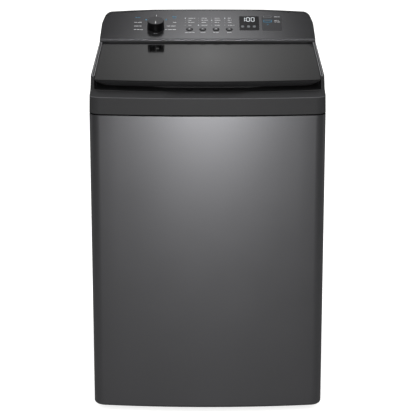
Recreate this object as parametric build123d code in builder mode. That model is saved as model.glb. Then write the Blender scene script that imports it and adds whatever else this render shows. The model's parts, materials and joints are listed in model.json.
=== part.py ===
"""Top load washing machine with a bowed steel cabinet, a sloped lid and a control console."""

from build123d import *
import os
from math import atan, atan2, cos, degrees, hypot, sin, tan

# Overall size, in millimetres
width = 650.0
depth = 670.0
height = 1070.0

# Fits
seat_gap = 0.3
running_gap = 0.05
loose_gap = 1.5

# Cabinet
foot_gap = 14.0
sheet = 1.2
front_bow = 22.0
corner_radius = 34.0
rear_radius = 12.0
hem_radius = 9.0
cabinet_flange = 20.0
rear_flange = 30.0
port_reach = 24.0
top_height = 210.0
cabinet_top = height - top_height
front_y = -depth / 2
back_y = depth / 2 - port_reach
axis_y = (front_y + back_y) / 2

# Back panel
panel_lap = 14.0
pan_inset = 60.0
pan_depth = 5.0
pan_angle = 30.0
pan_margin = 40.0
pan_space = 30.0
outlet_band = 45.0
screw_radius = 4.5
screw_height = 2.6
screw_rows = 5

# Plastic top
wall = 3.0
seam = 4.0
seam_step = 2.5
brow_edge_drop = 160.0
brow_top_drop = 146.0
brow_run = 26.0
band_lean = 1.0
brow_lean = 2.0
side_lean = 9.0
rail_width = 14.0
brow_edge = height - brow_edge_drop
brow_top = height - brow_top_drop

# Lid
lid_gap = 1.5
lid_front_inset = 20.0
lid_front_drop = 116.0
lid_rear_drop = 75.0
lid_panel_thick = 3.0
lid_panel_edge = 1.5
lid_frame_depth = 16.0
lid_frame_band = 24.0
lid_frame_step = 0.4
lid_taper = 3.0
lip_depth = 6.0
lip_inset = 12.0
lip_corner = 34.0
lid_bow = 19.0
lid_corner = 14.0
ear_width = 12.0
ear_gap = 1.0
slot_radius = 18.0
grip_length = 170.0
grip_width = 20.0
grip_depth = 9.0
grip_wall = 17.0
liner_thick = 2.5
liner_band = 36.0
liner_rise = 9.0
liner_angle = 20.0
hinge_pin_radius = 4.0
hinge_pin_depth = 6.5
hinge_knuckle = 9.0
hinge_setback = 10.0
hinge_drop = 14.0
bumper_radius = 6.0
bumper_inset = 20.0
bumper_alongs = [130.0, 340.0]
lock_x = 170.0
lock_along = 32.0
lock_length = 64.0
lock_width = 22.0
lock_height = 24.0
lock_corner = 3.0

# Console
console_depth = 206.0
face_run = 165.0
face_drop = 63.0
face_end_drop = 2.0
ridge_run = 8.0
nose_reach = 3.0
nose_depth = 4.5
fascia_drop = 4.0
crown = 11.0
crown_radius = 28.0
rear_bevel_run = 15.0
rear_bevel_drop = 20.0
fascia_ledge = 12.0
cheek = 32.0
lid_rear_gap = 25.0
ear_rear_gap = 8.0
console_y = back_y - console_depth
face_z = height - face_drop
ridge_y = console_y + face_run
face_slope = atan((height - face_end_drop - face_z) / face_run)

# Sunken deck and hinge trough under the lid
deck_drop = 31.0
trough_width = 45.0
trough_drop = 125.0
trough_front = console_y - trough_width
trough_z = height - trough_drop

# Loading mouth
mouth_width = 430.0
mouth_front_inset = 73.0
mouth_rear_gap = 55.0
mouth_radius = 110.0
throat_drop = 18.0
rim_height = 9.0
mouth_front = front_y + mouth_front_inset
mouth_rear = console_y - mouth_rear_gap
throat_bottom = cabinet_top - throat_drop

# Controls, placed on the console face: sideways, and up the slope from its lower edge
knob_x = -155.0
knob_along = 68.0
knob_radius = 24.0
knob_height = 24.0
knob_lift = 1.0
knob_skirt = 1.5
knob_taper = 3.0
knob_wall = 4.5
knob_hub_radius = 8.0
knob_face_thick = 1.5
knob_face_edge = 0.7
knob_shaft_radius = 3.0
option_xs = [-54.0, -14.4, 25.2, 64.8]
option_along = 56.0
option_radius = 7.0
pill_x = 180.5
pill_alongs = {"power_button": 136.0, "start_button": 108.0}
pill_length = 22.0
pill_width = 9.0
button_proud = 1.6
button_flange = 2.0
button_stem = 4.0
button_edge = 0.6
button_travel = 2.0
display_x = 125.2
display_along = 94.0
display_width = 58.5
display_length = 88.0
display_corner = 3.0
lens_lip = 3.0
lens_lip_thick = 2.0
board_drop = 20.0
board_thick = 1.6
board_margin = 20.0
board_corner = 4.0
post_x = 221.0
post_alongs = [40.0, 122.0]
post_radius = 4.0
encoder_size = 14.0
switch_size = 6.0
switch_height = 6.0
module_inset = 5.0

# Tub and basket
tub_room = 49.0
tub_wall = 3.0
tub_floor = 300.0
tub_floor_thick = 6.0
tub_headroom = 54.0
ring_height = 20.0
ring_reach = 46.0
ring_nose = 6.0
ring_shoulder = 12.0
ring_lap = 2.0
ring_skirt = 8.0
ring_drip = 15.0
basket_room = 24.0
basket_sheet = 1.0
basket_lift = 30.0
basket_headroom = 54.0
basket_web = 6.0
basket_hub_radius = 36.0
basket_hub_drop = 6.0
basket_hub_rise = 20.0
basket_rib_width = 8.0
basket_rib_height = 12.0
basket_ribs = 6
balance_height = 40.0
balance_width = 36.0
balance_lap = 2.0
balance_edge = 9.0
balance_foot = 6.0
filter_width = 68.0
filter_depth = 16.0
filter_foot = 110.0
filter_head = 122.0
tub_radius = min(width, back_y - front_y) / 2 - tub_room
tub_bore = tub_radius - tub_wall
tub_top = cabinet_top - tub_headroom
basket_radius = tub_radius - basket_room
basket_low = tub_floor + basket_lift
basket_high = tub_top - basket_headroom
hub_high = basket_low + basket_hub_rise

# Impeller
impeller_room = 58.0
impeller_lift = 3.0
impeller_rim = 8.0
impeller_rim_low = 8.0
impeller_dish = 11.0
impeller_wall = 6.0
impeller_crest = 32.0
impeller_crest_radius = 40.0
impeller_dish_radius = 92.0
impeller_flat_radius = 132.0
impeller_hub_radius = 30.0
impeller_cap = 14.0
cap_taper = 14.0
vane_count = 6
vane_width = 20.0
vane_height = 34.0
vane_taper = 12.0
vane_inset = 10.0
impeller_radius = basket_radius - impeller_room
impeller_low = hub_high + impeller_lift

# Drive
spin_radius = 12.5
spin_drop = 8.0
shaft_radius = 8.0
shaft_gap = 0.08
shaft_rise = 34.0
shaft_drop = 5.0
shaft_edge = 1.0
bearing_radius = 26.0
bearing_height = 15.0
bearing_race = 5.0
shield_width = 3.5
shield_depth = 1.0
seal_height = 8.0
seal_edge = 2.0
seal_room = 1.0
housing_radius = 44.0
housing_flange = 26.0
housing_drop = 95.0
housing_rise = 9.0
housing_foot = 2.0
plate_drop = 16.0
plate_thick = 4.0
plate_width = 220.0
plate_margin = 15.0
plate_rear = 135.0
plate_corner = 24.0
pulley_radius = 85.0
pulley_drop = 142.0
pulley_height = 26.0
pulley_rim = 10.0
pulley_flange = 5.0
flange_thick = 3.0
pulley_hub = 14.0
spoke_count = 5
spoke_width = 16.0
spoke_thick = 9.0
belt_height = 18.0
belt_thick = 4.0
motor_offset = 170.0
motor_radius = 60.0
motor_height = 85.0
motor_edge = 8.0
motor_boss_radius = 17.0
motor_boss_height = 6.0
motor_bore_depth = 40.0
motor_shaft_radius = 7.0
motor_shaft_end = 4.0
motor_shaft_room = 8.0
motor_pulley_radius = 24.0
housing_low = tub_floor - housing_drop
housing_high = tub_floor + tub_floor_thick + housing_rise
lower_bearing_z = housing_low + housing_foot
upper_bearing_z = housing_high - seal_height - seal_room - bearing_height
plate_z = tub_floor - plate_drop
pulley_low = tub_floor - pulley_drop
motor_y = axis_y - motor_offset
motor_low = plate_z - motor_height

# Suspension
rod_side_tuck = 9.0
rod_front_tuck = 35.0
rod_rear_tuck = 27.0
rod_radius = 4.0
rod_head_radius = 11.0
rod_head_height = 6.6
rod_head_taper = 25.0
rod_foot_radius = 9.0
rod_foot_thick = 3.0
bracket_drop = 26.0
bracket_thick = 3.0
bracket_reach = 44.0
bracket_margin = 21.0
lug_lift = 30.0
lug_thick = 14.0
lug_radius = 21.0
lug_width = 34.0
lug_play = 3.0
cup_drop = 60.0
cup_radius = 19.0
cup_wall = 3.5
cup_height = 18.0
cup_floor = 6.0
spring_radius = 12.5
spring_wire = 2.6
spring_turns = 4
rod_x = tub_radius - rod_side_tuck
rod_ys = [axis_y - tub_radius + rod_front_tuck, axis_y + tub_radius - rod_rear_tuck]
bracket_z = cabinet_top - bracket_drop
lug_z = tub_floor + lug_lift
cup_low = tub_floor - cup_drop

# Base and feet
base_band = 80.0
base_height = 41.0
base_wall = 3.5
foot_side_inset = 49.0
foot_front_inset = 88.0
foot_rear_inset = 49.0
foot_pad_radius = 20.0
foot_pad_height = 9.9
foot_pad_edge = 3.3
stud_radius = 5.0
stud_room = 3.0
boss_radius = 16.0
nut_radius = 10.0
nut_height = 5.0
base_inset = hem_radius + seat_gap
base_low = foot_gap + sheet

# Water inlet, detergent drawer and fill hose
port_radius = 13.2
port_neck = 1.0
port_wall = 4.0
valve_side_inset = 175.0
valve_pitch = 54.0
valve_lift = 42.0
valve_plate_width = 104.0
valve_plate_height = 46.0
valve_plate_thick = 4.0
valve_corner = 6.0
valve_pad_margin = 5.0
coil_width = 30.0
coil_height = 34.0
coil_length = 50.0
spout_depth = 24.0
spout_length = 20.0
hose_radius = 8.0
hose_bore = 6.0
hose_setback = 45.0
hose_bend = 22.0
drawer_x = -45.0
drawer_width = 110.0
drawer_height = 40.0
drawer_length = 150.0
drawer_lift = 9.0
drawer_wall = 2.0
softener_width = 36.0
drawer_lap = 4.0
drawer_plate = 3.0
drawer_plate_corner = 4.0
pull_length = 60.0
pull_height = 6.0
pull_reach = 9.0
pull_drop = 6.0
case_wall = 2.5
case_room = 6.0
valve_x = width / 2 - valve_side_inset
valve_z = cabinet_top + valve_lift
drawer_low = cabinet_top + drawer_lift

# Drain and cord entry
drain_x = 150.0
drain_y = 120.0
sump_radius = 16.0
sump_neck = 14.0
sump_hose_wall = 3.0
sump_hose_gap = 4.0
pump_drop = 115.0
pump_radius = 36.0
pump_length = 46.0
pump_motor_radius = 28.0
pump_motor_length = 50.0
pump_neck_rise = 22.0
pump_spout_length = 30.0
pump_spout_bare = 6.0
hanger_inset = 5.0
hanger_width = 8.0
hanger_length = 36.0
outlet_drop = 260.0
outlet_radius = 11.0
outlet_flange = 22.0
outlet_flange_thick = 3.0
outlet_wall = 4.0
nipple_radius = 9.0
nipple_length = 12.0
drain_hose_wall = 3.0
drain_setback = 36.0
drain_bend = 22.0
drain_end = 3.0
gland_x = -200.0
gland_bore = 4.5
gland_neck = 9.0
gland_flange = 13.5
gland_flange_thick = 4.0
gland_inside = 4.0
gland_length = 14.0
pump_z = tub_floor - pump_drop
outlet_z = cabinet_top - outlet_drop

foot_positions = [
    (side * (width / 2 - foot_side_inset), y)
    for y in (front_y + foot_front_inset, back_y - foot_rear_inset)
    for side in (-1, 1)
]
rod_positions = [(side * rod_x, y) for y in rod_ys for side in (-1, 1)]

spin_axis = Axis((0, axis_y, 0), (0, 0, 1))
axis_plane = Plane(origin=(0, axis_y, 0), x_dir=(1, 0, 0), z_dir=(0, -1, 0))

# Lid plane, and the hinge axis below its top near the rear edge
lid_front_y = front_y + lid_front_inset
lid_front_z = height - lid_front_drop
lid_rear_y = console_y - lid_rear_gap
ear_y = console_y - ear_rear_gap
recess_half = width / 2 - rail_width
lid_half = recess_half - lid_gap
lid_slope = atan((lid_front_drop - lid_rear_drop) / (lid_rear_y - lid_front_y))
lid_length = (lid_rear_y - lid_front_y) / cos(lid_slope)
lid_bottom = lid_panel_thick + lid_frame_depth
hinge_along = lid_length - hinge_setback
hinge_y = lid_front_y + hinge_along * cos(lid_slope) + hinge_drop * sin(lid_slope)
hinge_z = lid_front_z + hinge_along * sin(lid_slope) - hinge_drop * cos(lid_slope)
lid_plane = Plane(
    origin=(0, lid_front_y, lid_front_z),
    x_dir=(1, 0, 0),
    z_dir=(0, -sin(lid_slope), cos(lid_slope)),
)
deck_plane = lid_plane.offset(-deck_drop * cos(lid_slope))
face_plane = Plane(
    origin=(0, console_y, face_z),
    x_dir=(1, 0, 0),
    z_dir=(0, -sin(face_slope), cos(face_slope)),
)
fascia_thick = fascia_drop * cos(face_slope)

os.makedirs("parts", exist_ok=True)


def save(builder, name):
    """Label a finished piece and write it as STEP."""
    builder.part.label = name
    export_step(builder.part, f"parts/{name}.step")


def plan_face(inset, z, setback=0.0):
    """Plan of the cabinet at height z, inset from its skin, with the front moved back by setback."""
    side = width / 2 - inset
    front = front_y + inset + setback
    with BuildSketch(Plane.XY.offset(z)) as plan:
        with BuildLine():
            ThreePointArc((-side, front + front_bow), (0, front), (side, front + front_bow))
            Polyline(
                (side, front + front_bow),
                (side, back_y - inset),
                (-side, back_y - inset),
                (-side, front + front_bow),
            )
        make_face()
        fillet(plan.vertices().group_by(Axis.Y)[0], radius=max(corner_radius - inset, wall))
        fillet(plan.vertices().group_by(Axis.Y)[-1], radius=max(rear_radius - inset, wall))
    return plan.sketch


def side_face(points):
    """Face in the side view, drawn through (y, z) points."""
    with BuildSketch(Plane.YZ) as side:
        with BuildLine():
            Polyline(*points, close=True)
        make_face()
    return side.sketch


def rear_face(y, shape, *spots):
    """Copies of a flat shape in the upright plane at depth y, at (x, z) spots."""
    with BuildSketch(Plane.XZ.offset(-y)) as face:
        with Locations(*spots):
            add(shape)
    return face.sketch


def ring_face(outer, inner, z, at=(0, axis_y)):
    """Flat ring at height z about an upright axis."""
    with BuildSketch(Plane.XY.offset(z)) as ring:
        with Locations(at):
            Circle(outer)
            if inner:
                Circle(inner, mode=Mode.SUBTRACT)
    return ring.sketch


def disc(radius):
    """Round flat shape at the origin."""
    with BuildSketch() as face:
        Circle(radius)
    return face.sketch


def plate(length, breadth, corner):
    """Rounded flat shape at the origin."""
    with BuildSketch() as face:
        RectangleRounded(length, breadth, corner)
    return face.sketch


def lid_height(y):
    """Height of the lid's top plane."""
    return lid_front_z + (y - lid_front_y) * tan(lid_slope)


def deck_height(y):
    """Height of the sunken deck under the lid."""
    return lid_height(y) - deck_drop


def face_height(y):
    """Height of the console face."""
    return face_z + (y - console_y) * tan(face_slope)


def hood(inset):
    """The plastic top as one form, inset from its skin: band, sloped brow and leaning upper sides."""
    low = cabinet_top + seam
    high = height + wall
    band = plan_face(inset + band_lean, brow_edge)
    brow = plan_face(inset + brow_lean, brow_top, brow_run)
    with BuildPart() as form:
        extrude(plan_face(inset + seam_step, cabinet_top), amount=seam)
        loft([plan_face(inset, low), band], ruled=True)
        loft([band, brow], ruled=True)
        loft([brow, plan_face(inset + side_lean, high, brow_run)], ruled=True)
    return form.part


def crown_part():
    """Block under the arched top edge of the console, with its rounded shoulders."""
    half = width / 2 - side_lean + band_lean
    with BuildPart() as block:
        with BuildSketch(Plane.XZ.offset(-back_y - wall)) as front:
            with BuildLine():
                ThreePointArc((-half, height - crown), (0, height), (half, height - crown))
                Polyline(
                    (half, height - crown),
                    (half + side_lean, cabinet_top + seam),
                    (half + side_lean, cabinet_top),
                    (-half - side_lean, cabinet_top),
                    (-half - side_lean, cabinet_top + seam),
                    (-half, height - crown),
                )
            make_face()
            shoulders = front.vertices().group_by(Axis.Y)[-1]
            fillet(shoulders, radius=crown_radius)
        extrude(amount=console_depth + 2 * wall + nose_reach)
    return block.part


# Cabinet wrapper: front and sides in one sheet, with a rolled lower edge and turned-in flanges
with BuildPart() as cabinet_void:
    extrude(plan_face(sheet, foot_gap + sheet), amount=cabinet_top - foot_gap - 2 * sheet)
    fillet(cabinet_void.faces().sort_by(Axis.Z)[0].edges(), radius=hem_radius - sheet)
    extrude(plan_face(cabinet_flange, foot_gap), amount=cabinet_top - foot_gap)
    with BuildSketch(Plane.XY.offset(foot_gap + cabinet_flange)):
        with Locations((0, back_y)):
            Rectangle(width - 2 * rear_flange, 2 * wall)
    extrude(amount=cabinet_top - foot_gap - 2 * cabinet_flange)

with BuildPart() as cabinet:
    extrude(plan_face(0, foot_gap), amount=cabinet_top - foot_gap)
    fillet(cabinet.faces().sort_by(Axis.Z)[0].edges(), radius=hem_radius)
    add(cabinet_void.part, mode=Mode.SUBTRACT)
save(cabinet, "cabinet")

# Back panel with three pressed pans, lapped over the rear flanges
panel_half = width / 2 - rear_flange + panel_lap
panel_low = foot_gap + cabinet_flange - panel_lap
panel_high = cabinet_top - cabinet_flange + panel_lap
pan_half = panel_half - pan_inset
lower_end = outlet_z - outlet_band
lower_mid = (panel_low + pan_margin + lower_end) / 2
pan_spans = [
    (panel_low + pan_margin, lower_mid - pan_space / 2),
    (lower_mid + pan_space / 2, lower_end),
    (outlet_z + outlet_band, panel_high - pan_margin),
]
with BuildPart() as back_panel:
    panel = plate(2 * panel_half, panel_high - panel_low, rear_radius)
    extrude(rear_face(back_y, panel, (0, (panel_low + panel_high) / 2)), amount=-sheet)
    for low, high in pan_spans:
        spot = (0, (low + high) / 2)
        outside = plate(2 * pan_half, high - low, rear_radius)
        inside = plate(2 * (pan_half - sheet), high - low - 2 * sheet, rear_radius - sheet)
        extrude(rear_face(back_y + sheet, outside, spot), amount=-pan_depth, taper=pan_angle)
        extrude(rear_face(back_y, inside, spot), amount=-pan_depth, taper=pan_angle, mode=Mode.SUBTRACT)
    drain_hole = rear_face(back_y, disc(outlet_radius + seat_gap), (drain_x, outlet_z))
    cord_hole = rear_face(back_y, disc(gland_neck), (gland_x, outlet_z))
    extrude(drain_hole, amount=-sheet, mode=Mode.SUBTRACT)
    extrude(cord_hole, amount=-sheet, mode=Mode.SUBTRACT)
save(back_panel, "back_panel")

screw_x = panel_half - panel_lap / 2
screw_step = (panel_high - panel_low - panel_lap) / (screw_rows - 1)
with BuildPart() as back_panel_screws:
    with BuildSketch(Plane.XZ.offset(-back_y - sheet)):
        for row in range(screw_rows):
            screw_z = panel_low + panel_lap / 2 + row * screw_step
            with Locations((-screw_x, screw_z), (screw_x, screw_z)):
                RegularPolygon(screw_radius, 6)
    extrude(amount=-screw_height)
save(back_panel_screws, "back_panel_screws")

# Base frame: a channel with four bosses, on the cabinet's lower flange
with BuildPart() as base_frame:
    extrude(plan_face(base_inset, base_low), amount=base_height)
    extrude(
        plan_face(base_inset + base_wall, base_low),
        amount=base_height - base_wall,
        mode=Mode.SUBTRACT,
    )
    extrude(plan_face(base_inset + base_band - base_wall, base_low), amount=base_height)
    extrude(plan_face(base_inset + base_band, base_low), amount=base_height, mode=Mode.SUBTRACT)
    with BuildSketch(Plane.XY.offset(base_low)):
        with Locations(*foot_positions):
            Circle(boss_radius)
    extrude(amount=base_height)
    with BuildSketch(Plane.XY.offset(base_low)):
        with Locations(*foot_positions):
            Circle(stud_radius + running_gap)
    extrude(amount=base_height, mode=Mode.SUBTRACT)
save(base_frame, "base_frame")

# Levelling feet and their lock nuts
foot_names = ["foot_front_left", "foot_front_right", "foot_rear_left", "foot_rear_right"]
for foot_name, spot in zip(foot_names, foot_positions):
    with BuildPart() as foot:
        extrude(ring_face(foot_pad_radius, 0, 0, spot), amount=foot_pad_height)
        chamfer(foot.faces().sort_by(Axis.Z)[-1].edges(), length=foot_pad_edge)
        extrude(
            ring_face(stud_radius, 0, foot_pad_height, spot),
            amount=base_low + base_height - foot_pad_height - stud_room,
        )
    save(foot, foot_name)

with BuildPart() as foot_lock_nuts:
    with BuildSketch(Plane.XY.offset(base_low - nut_height)):
        with Locations(*foot_positions):
            RegularPolygon(nut_radius, 6)
            Circle(stud_radius + running_gap, mode=Mode.SUBTRACT)
    extrude(amount=nut_height)
save(foot_lock_nuts, "foot_lock_nuts")

# Corner brackets that carry the suspension rods
bracket_edge = rod_x - bracket_reach
with BuildPart() as corner_brackets:
    extrude(plan_face(sheet, bracket_z), amount=bracket_thick)
    with BuildSketch(Plane.XY.offset(bracket_z)):
        Rectangle(2 * bracket_edge, 2 * depth)
        with Locations((0, (rod_ys[0] + rod_ys[1]) / 2)):
            Rectangle(2 * width, rod_ys[1] - rod_ys[0] - 2 * bracket_margin)
        with Locations(*rod_positions):
            Circle(rod_radius + loose_gap)
    extrude(amount=bracket_thick, mode=Mode.SUBTRACT)
save(corner_brackets, "corner_brackets")

# Suspension rods, cups and springs
with BuildPart() as suspension_rods:
    for spot in rod_positions:
        extrude(ring_face(rod_radius, 0, cup_low, spot), amount=bracket_z + bracket_thick - cup_low)
        extrude(
            ring_face(rod_head_radius, 0, bracket_z + bracket_thick, spot),
            amount=rod_head_height,
            taper=rod_head_taper,
        )
        extrude(ring_face(rod_foot_radius, 0, cup_low, spot), amount=-rod_foot_thick)
save(suspension_rods, "suspension_rods")

with BuildPart() as spring_cups:
    for spot in rod_positions:
        extrude(ring_face(cup_radius, rod_radius, cup_low, spot), amount=cup_floor)
        extrude(ring_face(cup_radius, cup_radius - cup_wall, cup_low, spot), amount=cup_height)
save(spring_cups, "spring_cups")

spring_low = cup_low + cup_floor + spring_wire / 2 + seat_gap
spring_rise = lug_z - seat_gap - spring_wire / 2 - spring_low
with BuildPart() as one_spring:
    with BuildLine() as coil:
        Helix(pitch=spring_rise / spring_turns, height=spring_rise, radius=spring_radius)
    with BuildSketch(Plane(coil.line @ 0, x_dir=(0, 0, 1), z_dir=coil.line % 0)):
        Rectangle(spring_wire, spring_wire)
    sweep(is_frenet=True)
with BuildPart() as suspension_springs:
    for x, y in rod_positions:
        add(one_spring.part.moved(Location((x, y, spring_low))))
save(suspension_springs, "suspension_springs")

# Outer tub with four lugs on arms and a central seat for the bearing housing
with BuildPart() as outer_tub:
    extrude(ring_face(tub_radius, 0, tub_floor), amount=tub_top - tub_floor)
    with BuildSketch(Plane.XY.offset(lug_z)):
        with Locations(*rod_positions):
            Circle(lug_radius)
        for x, y in rod_positions:
            turn = degrees(atan2(y - axis_y, x))
            with Locations(Location((x / 2, (y + axis_y) / 2, 0), (0, 0, turn))):
                Rectangle(hypot(x, y - axis_y), lug_width)
    extrude(amount=lug_thick)
    extrude(
        ring_face(tub_bore, 0, tub_floor + tub_floor_thick),
        amount=tub_top - tub_floor,
        mode=Mode.SUBTRACT,
    )
    extrude(ring_face(housing_radius, 0, tub_floor), amount=tub_floor_thick, mode=Mode.SUBTRACT)
    with BuildSketch(Plane.XY.offset(lug_z)):
        with Locations(*rod_positions):
            Circle(rod_radius + lug_play)
    extrude(amount=lug_thick, mode=Mode.SUBTRACT)
    extrude(
        ring_face(sump_radius, 0, tub_floor, (drain_x, drain_y)),
        amount=tub_floor_thick,
        mode=Mode.SUBTRACT,
    )
save(outer_tub, "outer_tub")

ring_inner = tub_radius - ring_reach
ring_top = tub_top + ring_height
with BuildPart() as tub_ring:
    with BuildSketch(axis_plane):
        with BuildLine():
            Polyline(
                (ring_inner, ring_top - wall),
                (ring_inner + ring_nose, ring_top),
                (tub_radius + ring_lap - ring_shoulder, ring_top),
                (tub_radius + ring_lap, tub_top + ring_skirt),
                (tub_radius + ring_lap, tub_top),
                (tub_bore, tub_top),
                (tub_bore, tub_top + ring_skirt - wall),
                (tub_bore - ring_shoulder, ring_top - wall),
                (ring_inner + ring_nose, ring_top - wall),
                (ring_inner, ring_top - wall - ring_drip),
                close=True,
            )
        make_face()
    revolve(axis=spin_axis)
save(tub_ring, "tub_ring")

# Bearing housing with bearings and seal, under the tub floor
with BuildPart() as bearing_housing:
    extrude(ring_face(housing_radius, bearing_radius, housing_low), amount=housing_high - housing_low)
    extrude(
        ring_face(housing_radius + housing_flange, bearing_radius, plate_z + plate_thick),
        amount=plate_drop - plate_thick,
    )
    extrude(
        ring_face(bearing_radius, spin_radius + bearing_race, lower_bearing_z + bearing_height),
        amount=upper_bearing_z - lower_bearing_z - bearing_height,
    )
save(bearing_housing, "bearing_housing")

for bearing_name, low in (("lower_bearing", lower_bearing_z), ("upper_bearing", upper_bearing_z)):
    race = spin_radius + bearing_race
    with BuildPart() as bearing:
        extrude(ring_face(bearing_radius, spin_radius + running_gap, low), amount=bearing_height)
        extrude(
            ring_face(race + shield_width, race, low + bearing_height - shield_depth),
            amount=shield_depth,
            mode=Mode.SUBTRACT,
        )
    save(bearing, bearing_name)

with BuildPart() as tub_seal:
    extrude(
        ring_face(bearing_radius, spin_radius + 2 * running_gap, housing_high - seal_height),
        amount=seal_height,
    )
    chamfer(tub_seal.edges().filter_by(GeomType.CIRCLE).sort_by(Axis.Z)[-1], length=seal_edge)
save(tub_seal, "tub_seal")

# Support plate, motor and belt drive under the tub
plate_front = motor_offset + motor_radius + plate_margin
with BuildPart() as support_plate:
    with BuildSketch(Plane.XY.offset(plate_z)):
        with Locations((0, axis_y + (plate_rear - plate_front) / 2)):
            RectangleRounded(plate_width, plate_front + plate_rear, plate_corner)
        with Locations((0, axis_y)):
            Circle(housing_radius, mode=Mode.SUBTRACT)
        with Locations((0, motor_y)):
            Circle(motor_boss_radius, mode=Mode.SUBTRACT)
    extrude(amount=plate_thick)
save(support_plate, "support_plate")

motor_spot = (0, motor_y)
boss_low = motor_low - motor_boss_height
with BuildPart() as drive_motor:
    extrude(ring_face(motor_radius, 0, motor_low, motor_spot), amount=motor_height)
    chamfer(drive_motor.faces().sort_by(Axis.Z)[0].edges(), length=motor_edge)
    extrude(ring_face(motor_boss_radius, 0, boss_low, motor_spot), amount=motor_boss_height)
    extrude(
        ring_face(motor_shaft_radius + running_gap, 0, boss_low, motor_spot),
        amount=motor_boss_height + motor_bore_depth,
        mode=Mode.SUBTRACT,
    )
save(drive_motor, "drive_motor")

upper_flange = pulley_low + pulley_height - flange_thick
with BuildPart() as motor_pulley:
    extrude(
        ring_face(motor_shaft_radius, 0, pulley_low - motor_shaft_end, motor_spot),
        amount=motor_low + motor_bore_depth - motor_shaft_room - pulley_low + motor_shaft_end,
    )
    extrude(ring_face(motor_pulley_radius, 0, pulley_low, motor_spot), amount=pulley_height)
    for low in (pulley_low, upper_flange):
        extrude(ring_face(motor_pulley_radius + pulley_flange, 0, low, motor_spot), amount=flange_thick)
save(motor_pulley, "motor_pulley")

pulley_inner = pulley_radius - pulley_rim
with BuildPart() as drive_pulley:
    extrude(ring_face(pulley_radius, pulley_inner, pulley_low), amount=pulley_height)
    for low in (pulley_low, upper_flange):
        extrude(ring_face(pulley_radius + pulley_flange, pulley_inner, low), amount=flange_thick)
    extrude(ring_face(shaft_radius + pulley_hub, shaft_radius, pulley_low), amount=pulley_height)
    with BuildSketch(Plane.XY.offset(pulley_low + (pulley_height - spoke_thick) / 2)):
        with Locations((0, axis_y)):
            with PolarLocations((pulley_radius + shaft_radius) / 2, spoke_count):
                Rectangle(pulley_radius - shaft_radius - pulley_hub, spoke_width)
    extrude(amount=spoke_thick)
save(drive_pulley, "drive_pulley")


def belt_loop(grow):
    """Outline round both pulleys at a given distance from their grooves."""
    with BuildSketch(Plane.XY.offset(pulley_low + (pulley_height - belt_height) / 2)) as loop:
        with Locations((0, axis_y)):
            Circle(pulley_radius + grow)
        with Locations(motor_spot):
            Circle(motor_pulley_radius + grow)
        make_hull()
    return loop.sketch


with BuildPart() as drive_belt:
    extrude(belt_loop(seat_gap + belt_thick), amount=belt_height)
    extrude(belt_loop(seat_gap), amount=belt_height, mode=Mode.SUBTRACT)
save(drive_belt, "drive_belt")

# Spin tube and wash shaft
with BuildPart() as spin_tube:
    extrude(
        ring_face(spin_radius, shaft_radius + shaft_gap, housing_low - spin_drop),
        amount=hub_high - housing_low + spin_drop,
    )
save(spin_tube, "spin_tube")

shaft_high = hub_high + shaft_rise
with BuildPart() as wash_shaft:
    extrude(ring_face(shaft_radius, 0, pulley_low - shaft_drop), amount=shaft_high - pulley_low + shaft_drop)
    chamfer(wash_shaft.faces().sort_by(Axis.Z)[-1].edges(), length=shaft_edge)
save(wash_shaft, "wash_shaft")

# Wash basket: shell, cast base, balance ring and lint filters
basket_bore = basket_radius - basket_sheet
with BuildPart() as basket_shell:
    extrude(ring_face(basket_radius, basket_bore, basket_low), amount=basket_high - basket_low)
save(basket_shell, "basket_shell")

with BuildPart() as basket_base:
    extrude(ring_face(basket_bore, spin_radius, basket_low), amount=basket_web)
    extrude(
        ring_face(basket_hub_radius, spin_radius, basket_low - basket_hub_drop),
        amount=basket_hub_rise + basket_hub_drop,
    )
    with BuildSketch(Plane.XY.offset(basket_low)):
        with Locations((0, axis_y)):
            with PolarLocations((impeller_radius + spin_radius + basket_web) / 2, basket_ribs):
                Rectangle(impeller_radius - spin_radius - basket_web, basket_rib_width)
    extrude(amount=basket_rib_height)
save(basket_base, "basket_base")

balance_inner = basket_radius - balance_width
with BuildPart() as balance_ring:
    extrude(ring_face(basket_radius + balance_lap, balance_inner, basket_high), amount=balance_height)
    chamfer(balance_ring.edges().filter_by(GeomType.CIRCLE).group_by(Axis.Z)[-1], length=balance_edge)
    low_rims = balance_ring.edges().filter_by(GeomType.CIRCLE).group_by(Axis.Z)[0]
    chamfer(low_rims.sort_by(SortBy.RADIUS)[0], length=balance_foot)
save(balance_ring, "balance_ring")

filter_low = basket_low + filter_foot
filter_high = basket_high - filter_head
with BuildPart() as lint_filters:
    extrude(ring_face(basket_bore, basket_radius - filter_depth, filter_low), amount=filter_high - filter_low)
    with BuildSketch(Plane.XY.offset(filter_low)):
        with Locations((0, axis_y)):
            Rectangle(2 * basket_radius, filter_width)
    extrude(amount=filter_high - filter_low, mode=Mode.INTERSECT)
save(lint_filters, "lint_filters")

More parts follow.
